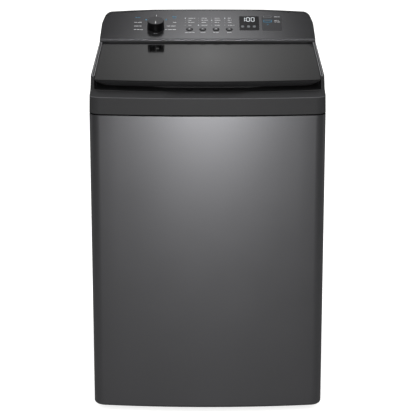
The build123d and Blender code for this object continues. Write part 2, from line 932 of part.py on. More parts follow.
# Impeller: dished disc with raised vanes and a centre cap
rim_low = impeller_low + impeller_rim_low
rim_high = rim_low + impeller_rim
crest = impeller_low + impeller_crest
dish_top = impeller_low + impeller_dish
vane_length = impeller_radius - impeller_crest_radius - vane_inset + vane_width
with BuildPart() as impeller:
    with BuildSketch(axis_plane):
        with BuildLine():
            Polyline(
                (0, crest),
                (impeller_crest_radius, crest),
                (impeller_dish_radius, dish_top),
                (impeller_flat_radius, dish_top),
                (impeller_radius, rim_high),
                (impeller_radius, rim_low),
                (impeller_flat_radius, dish_top - impeller_wall),
                (impeller_hub_radius, dish_top - impeller_wall),
                (impeller_hub_radius, impeller_low),
                (0, impeller_low),
                close=True,
            )
        make_face()
    revolve(axis=spin_axis)
    with BuildSketch(Plane.XY.offset(rim_low)):
        with Locations((0, axis_y)):
            with PolarLocations(impeller_radius - vane_inset - vane_length / 2, vane_count):
                SlotOverall(vane_length, vane_width)
    extrude(amount=vane_height, taper=vane_taper)
    extrude(ring_face(impeller_hub_radius, 0, crest), amount=impeller_cap, taper=cap_taper)
    extrude(ring_face(shaft_radius, 0, impeller_low), amount=shaft_high - impeller_low, mode=Mode.SUBTRACT)
save(impeller, "impeller")

# Drain pump under the sump, hung from the tub floor, and the sump hose
sump_spot = (drain_x, drain_y)
pump_spot = (drain_x, pump_z)
pump_front = drain_y - pump_length / 2
pump_rear = drain_y + pump_length / 2
with BuildPart() as drain_pump:
    extrude(rear_face(pump_front, disc(pump_radius), pump_spot), amount=-pump_length)
    extrude(rear_face(pump_front, disc(pump_motor_radius), pump_spot), amount=pump_motor_length)
    extrude(ring_face(sump_neck, 0, pump_z, sump_spot), amount=pump_radius + pump_neck_rise)
    extrude(rear_face(pump_rear, disc(nipple_radius), pump_spot), amount=-pump_spout_length)
    with BuildSketch(Plane.XY.offset(pump_z)):
        for side in (-1, 1):
            with Locations((drain_x + side * (pump_radius - hanger_inset), drain_y)):
                Rectangle(hanger_width, hanger_length)
    extrude(amount=tub_floor - pump_z)
save(drain_pump, "drain_pump")

sump_hose_low = pump_z + pump_radius + sump_hose_gap
with BuildPart() as sump_hose:
    extrude(
        ring_face(sump_neck + sump_hose_wall, sump_neck, sump_hose_low, sump_spot),
        amount=tub_floor - sump_hose_low,
    )
save(sump_hose, "sump_hose")

# Drain hose up the back of the cabinet, and its outlet through the back panel
drain_run_y = back_y - drain_setback
with BuildPart() as drain_hose:
    with BuildLine() as drain_route:
        FilletPolyline(
            (drain_x, pump_rear + pump_spout_bare, pump_z),
            (drain_x, drain_run_y, pump_z),
            (drain_x, drain_run_y, outlet_z),
            (drain_x, back_y - drain_end, outlet_z),
            radius=drain_bend,
        )
    with BuildSketch(Plane(drain_route.line @ 0, z_dir=(0, 1, 0))):
        Circle(nipple_radius + drain_hose_wall)
        Circle(nipple_radius + running_gap, mode=Mode.SUBTRACT)
    sweep()
save(drain_hose, "drain_hose")

outlet_spot = (drain_x, outlet_z)
outlet_base = back_y + sheet
nipple_y = back_y - nipple_length
with BuildPart() as drain_outlet:
    extrude(rear_face(outlet_base, disc(outlet_flange), outlet_spot), amount=-outlet_flange_thick)
    extrude(rear_face(nipple_y, disc(nipple_radius), outlet_spot), amount=nipple_y - outlet_base)
    extrude(rear_face(outlet_base, disc(outlet_radius), outlet_spot), amount=outlet_base - depth / 2)
    extrude(
        rear_face(nipple_y, disc(outlet_radius - outlet_wall), outlet_spot),
        amount=nipple_y - depth / 2,
        mode=Mode.SUBTRACT,
    )
save(drain_outlet, "drain_outlet")

gland_spot = (gland_x, outlet_z)
gland_y = back_y - gland_inside
with BuildPart() as cord_gland:
    extrude(rear_face(outlet_base, disc(gland_flange), gland_spot), amount=-gland_flange_thick)
    extrude(rear_face(gland_y, disc(gland_neck), gland_spot), amount=-gland_length)
    extrude(rear_face(gland_y, disc(gland_bore), gland_spot), amount=-gland_length, mode=Mode.SUBTRACT)
save(cord_gland, "cord_gland")

# Top cover: band and sloped brow, side rails, sunken deck, loading throat and hinge trough
far_front = front_y - wall
mouth_length = mouth_rear - mouth_front
mouth_corner = min(mouth_radius, mouth_length / 2 - wall)
mouth_spot = (0, (mouth_front + mouth_rear) / 2)


def mouth_face(grow):
    """Outline of the loading mouth at the bottom of its throat, grown by a margin."""
    with BuildSketch(Plane.XY.offset(throat_bottom)) as face:
        with Locations(mouth_spot):
            RectangleRounded(mouth_width + 2 * grow, mouth_length + 2 * grow, mouth_corner + grow)
    return face.sketch


with BuildPart() as cover_void:
    add(hood(wall))
    extrude(
        side_face(
            [
                (far_front, cabinet_top),
                (far_front, deck_height(far_front) - wall),
                (trough_front - wall, deck_height(trough_front - wall) - wall),
                (trough_front - wall, trough_z - wall),
                (console_y + wall, trough_z - wall),
                (console_y + wall, cabinet_top),
            ]
        ),
        amount=width,
        both=True,
        mode=Mode.INTERSECT,
    )

with BuildPart() as throat:
    extrude(mouth_face(wall), amount=height - throat_bottom)
    extrude(
        side_face(
            [
                (far_front, 0),
                (far_front, deck_height(far_front) + rim_height),
                (console_y, deck_height(console_y) + rim_height),
                (console_y, 0),
            ]
        ),
        amount=width,
        both=True,
        mode=Mode.INTERSECT,
    )

window_width = drawer_width + 2 * seat_gap
window_height = drawer_height + 2 * seat_gap
drawer_mid = (drawer_x, drawer_low + drawer_height / 2)
with BuildPart() as top_cover:
    add(hood(0))
    extrude(
        side_face(
            [
                (far_front, cabinet_top),
                (far_front, lid_height(far_front)),
                (console_y, lid_height(console_y)),
                (console_y, cabinet_top),
            ]
        ),
        amount=width,
        both=True,
        mode=Mode.INTERSECT,
    )
    extrude(
        side_face(
            [
                (far_front, deck_height(far_front)),
                (trough_front, deck_height(trough_front)),
                (trough_front, trough_z),
                (console_y, trough_z),
                (console_y, height),
                (far_front, height),
            ]
        ),
        amount=recess_half,
        both=True,
        mode=Mode.SUBTRACT,
    )
    add(cover_void.part, mode=Mode.SUBTRACT)
    add(throat.part)
    extrude(mouth_face(0), amount=height - throat_bottom, mode=Mode.SUBTRACT)
    with BuildSketch(Plane.XZ.offset(-mouth_rear + wall)):
        with Locations(drawer_mid):
            Rectangle(window_width, window_height)
    extrude(amount=-3 * wall, mode=Mode.SUBTRACT)
    for side in (-1, 1):
        with BuildSketch(Plane.YZ.offset(side * recess_half)):
            with Locations((hinge_y, hinge_z)):
                Circle(hinge_pin_radius)
        extrude(amount=side * hinge_pin_depth, mode=Mode.SUBTRACT)
save(top_cover, "top_cover")

with BuildPart() as lid_hinge_pins:
    for side in (-1, 1):
        with BuildSketch(Plane.YZ.offset(side * (lid_half - ear_width))):
            with Locations((hinge_y, hinge_z)):
                Circle(hinge_pin_radius)
        extrude(amount=side * (ear_width + lid_gap + hinge_pin_depth))
save(lid_hinge_pins, "lid_hinge_pins")

bumper_height = deck_drop * cos(lid_slope) - lid_bottom - seat_gap
bumper_x = lid_half - bumper_inset
with BuildPart() as lid_bumpers:
    with BuildSketch(deck_plane):
        for along in bumper_alongs:
            with Locations((-bumper_x, along), (bumper_x, along)):
                Circle(bumper_radius)
    extrude(amount=bumper_height)
save(lid_bumpers, "lid_bumpers")

with BuildPart() as lid_lock:
    with BuildSketch(deck_plane.offset(-wall * cos(lid_slope))):
        with Locations((lock_x, lock_along)):
            RectangleRounded(lock_length, lock_width, lock_corner)
    extrude(amount=-lock_height)
save(lid_lock, "lid_lock")


def lid_outline(inset, drop, rear, corner):
    """Bowed outline of the lid, inset from its edge, at a distance below its top plane, up to a rear line."""
    half = lid_half - inset
    with BuildSketch(lid_plane.offset(-drop)) as face:
        with BuildLine():
            ThreePointArc((-half, lid_bow + inset), (0, inset), (half, lid_bow + inset))
            Polyline((half, lid_bow + inset), (half, rear), (-half, rear), (-half, lid_bow + inset))
        make_face()
        fillet(face.vertices().group_by(Axis.Y)[0], radius=corner)
    return face.sketch


def lid_face(inset, drop):
    """Outline of the lid with its two hinge ears either side of the rounded rear slot."""
    ear = (ear_y - lid_front_y) / cos(lid_slope) - inset
    with BuildSketch(lid_plane.offset(-drop)) as face:
        add(lid_outline(inset, 0, ear, lid_corner).moved(lid_plane.location.inverse()))
        with BuildSketch(mode=Mode.PRIVATE) as slot:
            with Locations((0, lid_length + 2 * slot_radius)):
                RectangleRounded(2 * (lid_half - ear_width), 4 * slot_radius, slot_radius)
        add(slot.sketch, mode=Mode.SUBTRACT)
    return face.sketch


def lid_inner_face(inset, drop, corner):
    """Rounded outline inside the lid's frame, at a distance below its top plane."""
    margin = lid_frame_band + inset
    with BuildSketch(lid_plane.offset(-drop)) as face:
        with Locations((0, (lid_length + lid_bow) / 2)):
            RectangleRounded(2 * (lid_half - margin), lid_length - lid_bow - 2 * margin, corner)
    return face.sketch


# Lid: painted panel over a black frame with the front grip, closed below by a liner
with BuildPart() as lid_panel:
    extrude(lid_face(0, 0), amount=-lid_panel_thick)
    fillet(lid_panel.faces().sort_by(Axis.Z)[-1].edges().sort_by(Axis.Y)[:1], radius=lid_panel_edge)
save(lid_panel, "lid_panel")

# Lip below the panel, drawn in towards its foot with large round front corners
with BuildPart() as lid_lip:
    lip_top = lid_panel_thick + lip_depth
    lip_upper = lid_outline(lid_frame_step, lid_panel_thick, lid_length, lid_corner)
    lip_middle = lid_outline(lid_taper, lip_top, lid_length - slot_radius, lid_corner + lid_taper)
    lip_lower = lid_outline(lip_inset, lid_bottom, lid_length - slot_radius, lip_corner)
    loft([lip_upper, lip_middle], ruled=True)
    loft([lip_middle, lip_lower], ruled=True)

with BuildPart() as lid_frame:
    loft([lid_face(lid_frame_step, lid_panel_thick), lid_face(lid_taper, lid_bottom)], ruled=True)
    with BuildSketch(lid_plane):
        with Locations((0, lid_length)):
            Rectangle(2 * width, 4 * slot_radius)
    extrude(amount=-lid_bottom, mode=Mode.INTERSECT)
    add(lid_lip.part)
    extrude(
        lid_inner_face(0, lid_panel_thick, slot_radius),
        amount=-lid_frame_depth,
        mode=Mode.SUBTRACT,
    )
    with BuildSketch(lid_plane.offset(-lid_bottom)):
        with Locations((0, grip_wall + grip_width / 2)):
            SlotOverall(grip_length, grip_width)
    extrude(amount=grip_depth, mode=Mode.SUBTRACT)
    for side in (-1, 1):
        with BuildSketch(Plane.YZ.offset(side * (lid_half - ear_width))):
            with Locations((hinge_y, hinge_z)):
                Circle(hinge_knuckle)
        extrude(amount=side * (ear_width - ear_gap))
    for side in (-1, 1):
        with BuildSketch(Plane.YZ.offset(side * (lid_half - 2 * ear_width))):
            with Locations((hinge_y, hinge_z)):
                Circle(hinge_pin_radius + running_gap)
        extrude(amount=side * 2 * ear_width, mode=Mode.SUBTRACT)
save(lid_frame, "lid_frame")

with BuildPart() as lid_liner:
    extrude(lid_inner_face(0, lid_bottom, slot_radius), amount=liner_thick)
    extrude(lid_inner_face(liner_band, lid_bottom, 2 * slot_radius), amount=liner_rise, taper=liner_angle)
    extrude(
        lid_inner_face(liner_band + liner_thick, lid_bottom, 2 * slot_radius - liner_thick),
        amount=liner_rise - liner_thick,
        taper=liner_angle,
        mode=Mode.SUBTRACT,
    )
save(lid_liner, "lid_liner")

# Console housing with its riser wall behind the lid
ridge_end = ridge_y + ridge_run
seat_end = face_height(ridge_y) - fascia_drop
with BuildPart() as housing_void:
    add(hood(wall))
    extrude(
        side_face(
            [
                (console_y + wall, cabinet_top),
                (console_y + wall, face_height(console_y + wall) - fascia_drop - wall),
                (ridge_y, seat_end - wall),
                (back_y - rear_bevel_run + wall, seat_end - wall),
                (back_y - wall, height - rear_bevel_drop - 2 * wall),
                (back_y - wall, cabinet_top),
            ]
        ),
        amount=width,
        both=True,
        mode=Mode.INTERSECT,
    )
    add(crown_part().moved(Location((0, 0, -wall - fascia_drop))), mode=Mode.INTERSECT)

valve_inner = back_y - 2 * wall
valve_spot = (valve_x + valve_pitch / 2, valve_z)
port_spots = [(valve_x, valve_z), (valve_x + valve_pitch, valve_z)]
with BuildPart() as console_housing:
    add(hood(0))
    extrude(
        side_face(
            [
                (console_y, cabinet_top),
                (console_y, face_height(console_y) - fascia_drop),
                (ridge_y, seat_end),
                (ridge_end, seat_end),
                (ridge_end, height),
                (back_y - rear_bevel_run, height - wall),
                (back_y, height - rear_bevel_drop),
                (back_y, cabinet_top),
            ]
        ),
        amount=width,
        both=True,
        mode=Mode.INTERSECT,
    )
    add(crown_part(), mode=Mode.INTERSECT)
    add(housing_void.part, mode=Mode.SUBTRACT)
    # Window below the fascia, and the way in for the detergent housing below the trough
    with BuildSketch(Plane.XY.offset(trough_z)):
        with Locations((0, (console_y + ridge_y) / 2)):
            Rectangle(width - 2 * cheek, face_run - 2 * fascia_ledge)
    extrude(amount=height - trough_z, mode=Mode.SUBTRACT)
    with BuildSketch(Plane.XZ.offset(-console_y)):
        with Locations((0, (cabinet_top + trough_z - wall) / 2)):
            Rectangle(width - 2 * cheek, trough_z - wall - cabinet_top)
    extrude(amount=-wall, mode=Mode.SUBTRACT)
    # Flat pad inside the rear wall for the inlet valve, bored for its ports
    pad = plate(
        valve_plate_width + 2 * valve_pad_margin,
        valve_plate_height + 2 * valve_pad_margin,
        valve_corner,
    )
    extrude(rear_face(valve_inner, pad, valve_spot), amount=-wall - band_lean)
    ports = rear_face(valve_inner, disc(port_radius + loose_gap), *port_spots)
    extrude(ports, amount=-3 * wall, mode=Mode.SUBTRACT)
save(console_housing, "console_housing")

# Console fascia with its nose, control openings and board posts
option_spots = [(x, option_along) for x in option_xs]
pill_spots = [(pill_x, along) for along in pill_alongs.values()]
post_spots = [(side * post_x, along) for along in post_alongs for side in (-1, 1)]
nose_y = console_y - nose_reach
nose_z = face_height(console_y) - nose_depth
with BuildPart() as console_fascia:
    add(hood(0))
    extrude(
        side_face(
            [
                (nose_y, face_height(nose_y)),
                (ridge_y, face_height(ridge_y)),
                (ridge_end, height),
                (ridge_end, seat_end),
                (ridge_y, seat_end),
                (console_y, face_height(console_y) - fascia_drop),
                (console_y, nose_z),
                (nose_y, nose_z),
            ]
        ),
        amount=width,
        both=True,
        mode=Mode.INTERSECT,
    )
    add(crown_part(), mode=Mode.INTERSECT)
    with BuildSketch(face_plane.offset(-fascia_thick)):
        with Locations(*post_spots):
            Circle(post_radius)
    extrude(amount=-(board_drop - fascia_thick))
    with BuildSketch(face_plane):
        with Locations((knob_x, knob_along)):
            Circle(knob_shaft_radius + loose_gap)
        with Locations(*option_spots):
            Circle(option_radius + seat_gap)
        with Locations(*pill_spots):
            SlotOverall(pill_length + 2 * seat_gap, pill_width + 2 * seat_gap)
        with Locations((display_x, display_along)):
            RectangleRounded(display_width + 2 * seat_gap, display_length + 2 * seat_gap, display_corner)
    extrude(amount=-2 * fascia_thick, mode=Mode.SUBTRACT)
save(console_fascia, "console_fascia")

with BuildPart() as display_lens:
    with BuildSketch(face_plane):
        with Locations((display_x, display_along)):
            RectangleRounded(display_width, display_length, display_corner)
    extrude(amount=-fascia_thick)
    with BuildSketch(face_plane.offset(-fascia_thick)):
        with Locations((display_x, display_along)):
            RectangleRounded(display_width + 2 * lens_lip, display_length + 2 * lens_lip, display_corner)
    extrude(amount=-lens_lip_thick)
save(display_lens, "display_lens")

# Control board with the encoder, the display module and six key switches
board_width = 2 * (post_x + board_margin)
board_length = post_alongs[1] - post_alongs[0] + 2 * board_margin
board_along = (post_alongs[0] + post_alongs[1]) / 2
with BuildPart() as control_board:
    with BuildSketch(face_plane.offset(-board_drop)):
        with Locations((0, board_along)):
            RectangleRounded(board_width, board_length, board_corner)
    extrude(amount=-board_thick)
    with BuildSketch(face_plane.offset(-board_drop)):
        with Locations((knob_x, knob_along)):
            Rectangle(encoder_size, encoder_size)
        with Locations(*option_spots, *pill_spots):
            Rectangle(switch_size, switch_size)
    extrude(amount=switch_height)
    with BuildSketch(face_plane.offset(-board_drop)):
        with Locations((display_x, display_along)):
            Rectangle(display_width - 2 * module_inset, display_length - 2 * module_inset)
    extrude(amount=board_drop - fascia_thick - lens_lip_thick - seat_gap)
save(control_board, "control_board")


def knob_ring(outer, inner, rise):
    """Flat ring about the knob's axis, at a height above the console face."""
    with BuildSketch(face_plane.offset(rise)) as ring:
        with Locations((knob_x, knob_along)):
            Circle(outer)
            if inner:
                Circle(inner, mode=Mode.SUBTRACT)
    return ring.sketch


# Programme knob: hollow skirt on a hub, metal face and shaft
knob_top = knob_height - knob_face_thick
shaft_foot = switch_height + seat_gap - board_drop
shaft_head = knob_top - knob_wall + knob_lift
with BuildPart() as knob:
    extrude(knob_ring(knob_radius + knob_skirt, 0, knob_lift), amount=knob_top - knob_lift, taper=knob_taper)
    extrude(
        knob_ring(knob_radius - knob_wall + knob_skirt, knob_hub_radius, knob_lift),
        amount=knob_top - knob_wall - knob_lift,
        mode=Mode.SUBTRACT,
    )
    extrude(knob_ring(knob_shaft_radius, 0, knob_lift), amount=shaft_head - knob_lift, mode=Mode.SUBTRACT)
save(knob, "knob")

with BuildPart() as knob_face:
    extrude(knob_ring(knob_radius, 0, knob_top), amount=knob_face_thick)
    chamfer(knob_face.faces().sort_by(Axis.Z)[-1].edges(), length=knob_face_edge)
save(knob_face, "knob_face")

with BuildPart() as knob_shaft:
    extrude(knob_ring(knob_shaft_radius, 0, shaft_foot), amount=shaft_head - shaft_foot)
save(knob_shaft, "knob_shaft")

# Push buttons: a cap over a retaining flange and a stem that ends above its key switch
flange_low = -fascia_thick - seat_gap - button_flange
stem_low = switch_height + button_travel - board_drop


def button_part(shape, flange_shape, spot):
    """Button with a cap and a flange of the given shapes at a spot on the console face."""
    with BuildPart() as button:
        with BuildSketch(face_plane.offset(stem_low)):
            with Locations(spot):
                Circle(button_stem)
        extrude(amount=-stem_low)
        with BuildSketch(face_plane.offset(flange_low)):
            with Locations(spot):
                add(flange_shape)
        extrude(amount=button_flange)
        with BuildSketch(face_plane.offset(flange_low + button_flange)):
            with Locations(spot):
                add(shape)
        extrude(amount=fascia_thick + seat_gap + button_proud)
        chamfer(button.faces().sort_by(Axis.Z)[-1].edges(), length=button_edge)
    return button


for number, spot in enumerate(option_spots, start=1):
    option = button_part(disc(option_radius), disc(option_radius + button_flange), spot)
    save(option, f"option_button_{number}")

with BuildSketch() as pill_shape:
    SlotOverall(pill_length, pill_width)
with BuildSketch() as pill_flange:
    SlotOverall(pill_length + 2 * button_flange, pill_width + 2 * button_flange)
for pill_name, spot in zip(pill_alongs, pill_spots):
    save(button_part(pill_shape.sketch, pill_flange.sketch, spot), pill_name)

# Detergent housing behind the throat: drawer case below, water chamber above
case_front = mouth_rear + wall
case_rear = mouth_rear + drawer_length + case_room
case_length = case_rear - case_front
case_width = window_width + 2 * case_wall
case_low = drawer_low - seat_gap - case_wall
case_spot = (drawer_x, (case_front + case_rear) / 2)
chamber_low = drawer_low + drawer_height + seat_gap + case_wall
chamber_high = trough_z - wall - case_wall
hose_z = (chamber_low + chamber_high) / 2
with BuildPart() as detergent_housing:
    with BuildSketch(Plane.XY.offset(case_low)):
        with Locations(case_spot):
            Rectangle(case_width, case_length)
    extrude(amount=trough_z - wall - case_low)
    with BuildSketch(Plane.XZ.offset(-case_front)):
        with Locations(drawer_mid):
            Rectangle(window_width, window_height)
    extrude(amount=-(case_length - case_wall), mode=Mode.SUBTRACT)
    with BuildSketch(Plane.XY.offset(chamber_low)):
        with Locations(case_spot):
            Rectangle(case_width - 2 * case_wall, case_length - 2 * case_wall)
    extrude(amount=chamber_high - chamber_low, mode=Mode.SUBTRACT)
    inlet = rear_face(case_rear - case_wall, disc(hose_bore), (drawer_x, hose_z))
    extrude(inlet, amount=-case_wall, mode=Mode.SUBTRACT)
save(detergent_housing, "detergent_housing")

# Detergent drawer with two compartments and a front plate with a pull
powder_width = drawer_width - softener_width - 3 * drawer_wall
drawer_rear = mouth_rear + drawer_length
drawer_left = drawer_x - drawer_width / 2
drawer_right = drawer_x + drawer_width / 2
plate_y = mouth_rear - seat_gap
with BuildPart() as detergent_drawer:
    with BuildSketch(Plane.XY.offset(drawer_low)):
        with Locations((drawer_x, (mouth_rear + drawer_rear) / 2)):
            Rectangle(drawer_width, drawer_length)
    extrude(amount=drawer_height)
    with BuildSketch(Plane.XY.offset(drawer_low + drawer_wall)):
        with Locations((drawer_left + drawer_wall + powder_width / 2, (mouth_rear + drawer_rear) / 2)):
            Rectangle(powder_width, drawer_length - 2 * drawer_wall)
        with Locations((drawer_right - drawer_wall - softener_width / 2, (mouth_rear + drawer_rear) / 2)):
            Rectangle(softener_width, drawer_length - 2 * drawer_wall)
    extrude(amount=drawer_height, mode=Mode.SUBTRACT)
    front = plate(drawer_width + 2 * drawer_lap, drawer_height + 2 * drawer_lap, drawer_plate_corner)
    extrude(rear_face(plate_y, front, drawer_mid), amount=drawer_plate)
    with BuildSketch(Plane.XZ.offset(-mouth_rear)):
        with Locations(drawer_mid):
            Rectangle(drawer_width, drawer_height - 2 * drawer_wall)
    extrude(amount=seat_gap)
    with BuildSketch(Plane.XZ.offset(-plate_y + drawer_plate)):
        with Locations((drawer_x, drawer_low + drawer_height - pull_drop)):
            SlotOverall(pull_length, pull_height)
    extrude(amount=pull_reach)
save(detergent_drawer, "detergent_drawer")

# Inlet valve with two ports through the rear wall, and the fill hose to the detergent housing
hose_y = back_y - hose_setback
plate_front_y = valve_inner - valve_plate_thick
port_y = back_y + loose_gap
spout_x = valve_x - coil_width / 2
spout_top = hose_z + hose_radius
with BuildPart() as inlet_valve:
    flange = plate(valve_plate_width, valve_plate_height, valve_corner)
    extrude(rear_face(plate_front_y, flange, valve_spot), amount=-valve_plate_thick)
    extrude(rear_face(valve_inner, disc(port_radius - port_neck), *port_spots), amount=valve_inner - port_y)
    extrude(rear_face(port_y, disc(port_radius), *port_spots), amount=port_y - depth / 2)
    extrude(
        rear_face(valve_inner, disc(port_radius - port_wall), *port_spots),
        amount=valve_inner - depth / 2,
        mode=Mode.SUBTRACT,
    )
    with BuildSketch(Plane.XZ.offset(-plate_front_y)):
        with Locations(*port_spots):
            Rectangle(coil_width, coil_height)
    extrude(amount=coil_length)
    with BuildSketch(Plane.XZ.offset(-hose_y + spout_depth / 2)):
        with Locations((valve_x, (valve_z + spout_top) / 2)):
            Rectangle(coil_width, spout_top - valve_z)
    extrude(amount=-spout_depth)
    with BuildSketch(Plane.YZ.offset(spout_x)):
        with Locations((hose_y, hose_z)):
            Circle(hose_bore)
    extrude(amount=-spout_length)
save(inlet_valve, "inlet_valve")

with BuildPart() as fill_hose:
    with BuildLine() as fill_route:
        FilletPolyline(
            (spout_x, hose_y, hose_z),
            (drawer_x, hose_y, hose_z),
            (drawer_x, case_rear, hose_z),
            radius=hose_bend,
        )
    with BuildSketch(Plane(fill_route.line @ 0, z_dir=(-1, 0, 0))):
        Circle(hose_radius)
        Circle(hose_bore, mode=Mode.SUBTRACT)
    sweep()
save(fill_hose, "fill_hose")
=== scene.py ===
"""Looks of a top load washing machine: finishes, fine detail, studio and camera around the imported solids."""

import json
from math import atan, cos, radians, sin

import bmesh
import bpy
import numpy as np
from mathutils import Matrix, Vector


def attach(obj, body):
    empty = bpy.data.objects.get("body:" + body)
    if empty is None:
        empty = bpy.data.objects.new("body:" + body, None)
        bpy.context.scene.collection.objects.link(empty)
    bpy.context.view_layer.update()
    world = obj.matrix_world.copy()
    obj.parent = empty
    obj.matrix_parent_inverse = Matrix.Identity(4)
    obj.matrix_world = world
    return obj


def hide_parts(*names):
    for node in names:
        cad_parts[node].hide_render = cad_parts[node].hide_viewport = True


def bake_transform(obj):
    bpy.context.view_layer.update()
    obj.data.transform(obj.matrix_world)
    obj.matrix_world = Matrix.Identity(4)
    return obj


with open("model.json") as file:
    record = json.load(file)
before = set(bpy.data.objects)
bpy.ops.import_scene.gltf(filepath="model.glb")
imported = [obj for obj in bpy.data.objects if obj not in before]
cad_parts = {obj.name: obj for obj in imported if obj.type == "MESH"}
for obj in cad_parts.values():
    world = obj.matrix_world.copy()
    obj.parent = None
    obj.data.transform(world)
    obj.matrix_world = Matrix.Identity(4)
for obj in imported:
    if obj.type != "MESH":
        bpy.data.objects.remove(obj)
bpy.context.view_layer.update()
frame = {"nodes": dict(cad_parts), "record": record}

scene = bpy.context.scene
scene.view_settings.view_transform = "Standard"
body_of = {node: body for body, nodes in frame["record"]["behaviour"]["bodies"].items() for node in nodes}
slot_of = {part["node"]: part["material_slot"] for part in frame["record"]["subparts"]}

# Sizes shared with the solids, in metres
half_width = 0.325
front_y = -0.335
back_y = 0.311
front_bow = 0.022
corner_radius = 0.034
rear_radius = 0.012
lid_front_y = -0.315
lid_front_z = 0.954
lid_slope = radians(5.926)
console_y = 0.105
face_z = 1.007
face_rise_mm, face_run_mm = 61.0, 165.0
face_slope = atan(face_rise_mm / face_run_mm)
axis_y = -0.012
basket_radius = 0.250
basket_low = 0.330
basket_high = 0.752


# Colour and node helpers

def linear(hex_colour):
    """Colour of an sRGB hex value as linear light with full alpha."""
    value = np.array([int(hex_colour[i:i + 2], 16) for i in (1, 3, 5)]) / 255
    low = value / 12.92
    high = ((value + 0.055) / 1.055) ** 2.4
    return (*np.where(value <= 0.04045, low, high), 1.0)


def add_node(tree, kind, settings=(), **links):
    """Add a node: settings go to its properties or sockets, and links join outputs to its sockets.

    A link names its socket, with _ for a space, or gives its number as _0, _1.
    """
    node = tree.nodes.new(kind)
    for name, value in dict(settings).items():
        if isinstance(name, str) and hasattr(node, name):
            setattr(node, name, value)
        else:
            node.inputs[name].default_value = value
    for name, output in links.items():
        socket = int(name[1:]) if name[1:].isdigit() else name.replace("_", " ")
        tree.links.new(output, node.inputs[socket])
    return node


def new_material(name, **shader_values):
    """Material with a surface shader whose constant values are given by socket name with _ for a space."""
    material = bpy.data.materials.new(name)
    material.use_nodes = True
    tree = material.node_tree
    tree.nodes.clear()
    values = {key.replace("_", " "): value for key, value in shader_values.items()}
    shader = add_node(tree, "ShaderNodeBsdfPrincipled", values)
    add_node(tree, "ShaderNodeOutputMaterial", Surface=shader.outputs["BSDF"])
    return material, tree, shader


gloss_drift = 0.06
gloss_patch_mm = 100.0
mix_dark, mix_light, mix_result = 6, 7, 2  # the colour sockets of a mix node


def finish(name, colour, roughness, grain_mm, mottle=0.04, relief_mm=0.0, **shader_values):
    """A finish whose tone varies with a noise of the given grain, and whose gloss drifts over wide patches.

    Metal flake and mould grain are finer than half a millimetre, and are drawn coarser so that they show.
    """
    material, tree, shader = new_material(name, **shader_values)
    place = add_node(tree, "ShaderNodeTexCoord").outputs["Object"]
    grain = add_node(tree, "ShaderNodeTexNoise", {"Scale": 1000.0 / grain_mm, "Detail": 3.0}, Vector=place)
    wide = 1000.0 / gloss_patch_mm
    patch = add_node(tree, "ShaderNodeTexNoise", {"Scale": wide, "Detail": 2.0}, Vector=place)
    tone = np.array(linear(colour)[:3])
    tones = {mix_dark: (*tone * (1 - mottle), 1.0), mix_light: (*np.minimum(tone * (1 + mottle), 1.0), 1.0)}
    shade = add_node(tree, "ShaderNodeMix", {"data_type": "RGBA", **tones}, _0=grain.outputs["Fac"])
    tree.links.new(shade.outputs[mix_result], shader.inputs["Base Color"])
    gloss = {"To Min": roughness * (1 - gloss_drift), "To Max": roughness * (1 + gloss_drift)}
    sheen = add_node(tree, "ShaderNodeMapRange", gloss, Value=patch.outputs["Fac"])
    tree.links.new(sheen.outputs["Result"], shader.inputs["Roughness"])
    if relief_mm:
        depth = {"Distance": relief_mm / 1000.0}
        relief = add_node(tree, "ShaderNodeBump", depth, Height=grain.outputs["Fac"])
        tree.links.new(relief.outputs["Normal"], shader.inputs["Normal"])
    return material


# Finishes

# Graphite enamel with metal flake, baked on steel: a broad sheen that runs from pale to dark down the front
flake_enamel = finish("graphite_flake_enamel_on_steel", "#6c6c6e", 0.38, 1.2, 0.10, Metallic=0.92)
# Zinc coated sheet, bare: dull grey with a broad spangle
zinc_sheet = finish("zinc_coated_steel_sheet", "#9a9da0", 0.42, 14.0, 0.12, Metallic=1.0)
# Drawn stainless sheet: bright, with a fine satin grain
satin_stainless = finish("satin_stainless_steel", "#c3c4c3", 0.26, 0.8, 0.03, Metallic=1.0)
# Patented spring wire, oiled: dark and half bright
spring_wire = finish("oiled_spring_steel", "#6d6f72", 0.35, 1.5, Metallic=1.0)
# Moulded ABS with a fine spark grain, dark grey: soft broad light, no mirror
cover_abs = finish("spark_grained_dark_grey_abs", "#2d2d2e", 0.52, 0.9, relief_mm=0.03, IOR=1.54,
                   Specular_IOR_Level=0.12)
# The same ABS painted light on the rail beads: a painted highlight that draws two thin lines of light beside
# the lid
rail_bead_highlight_abs = finish("painted_highlight_bead_of_dark_grey_abs", "#808082", 0.35, 0.9, IOR=1.54, Specular_IOR_Level=0.3)
# The same ABS painted lighter along the fold: a painted highlight that draws one faint line between brow and
# band
fold_highlight_abs = finish("painted_highlight_fold_of_dark_grey_abs", "#474749", 0.45, 0.9, IOR=1.54, Specular_IOR_Level=0.2)
# Metallic lacquer under a clear coat on the lid: dark, and it mirrors the console and its knob
lid_lacquer = finish("clear_coated_graphite_lacquer", "#232324", 0.15, 0.8, 0.05, Metallic=0.85,
                     Coat_Weight=1.0, Coat_Roughness=0.05)
# Black moulded ABS of the lid frame and the base: deep and satin
black_abs = finish("moulded_black_abs", "#1f1f20", 0.40, 0.9, relief_mm=0.02, IOR=1.54,
                   Specular_IOR_Level=0.2)
# The same moulding polished for the knob: deepest black
knob_abs = finish("polished_black_abs", "#09090a", 0.30, 0.9, IOR=1.54, Specular_IOR_Level=0.15)
# Satin metallic lacquer of the console face: like the lid, without the clear coat
fascia_lacquer = finish("satin_graphite_lacquer", "#4c4c4e", 0.25, 0.8, 0.05, Metallic=0.9)
# The same lacquer, matt and painted lighter over the console's nose: a painted highlight, so that the edge
# shows as one soft line
nose_highlight_lacquer = finish("matt_graphite_lacquer_with_painted_highlight_on_nose", "#5c5c5e", 0.50, 0.8, 0.05, Metallic=0.9)
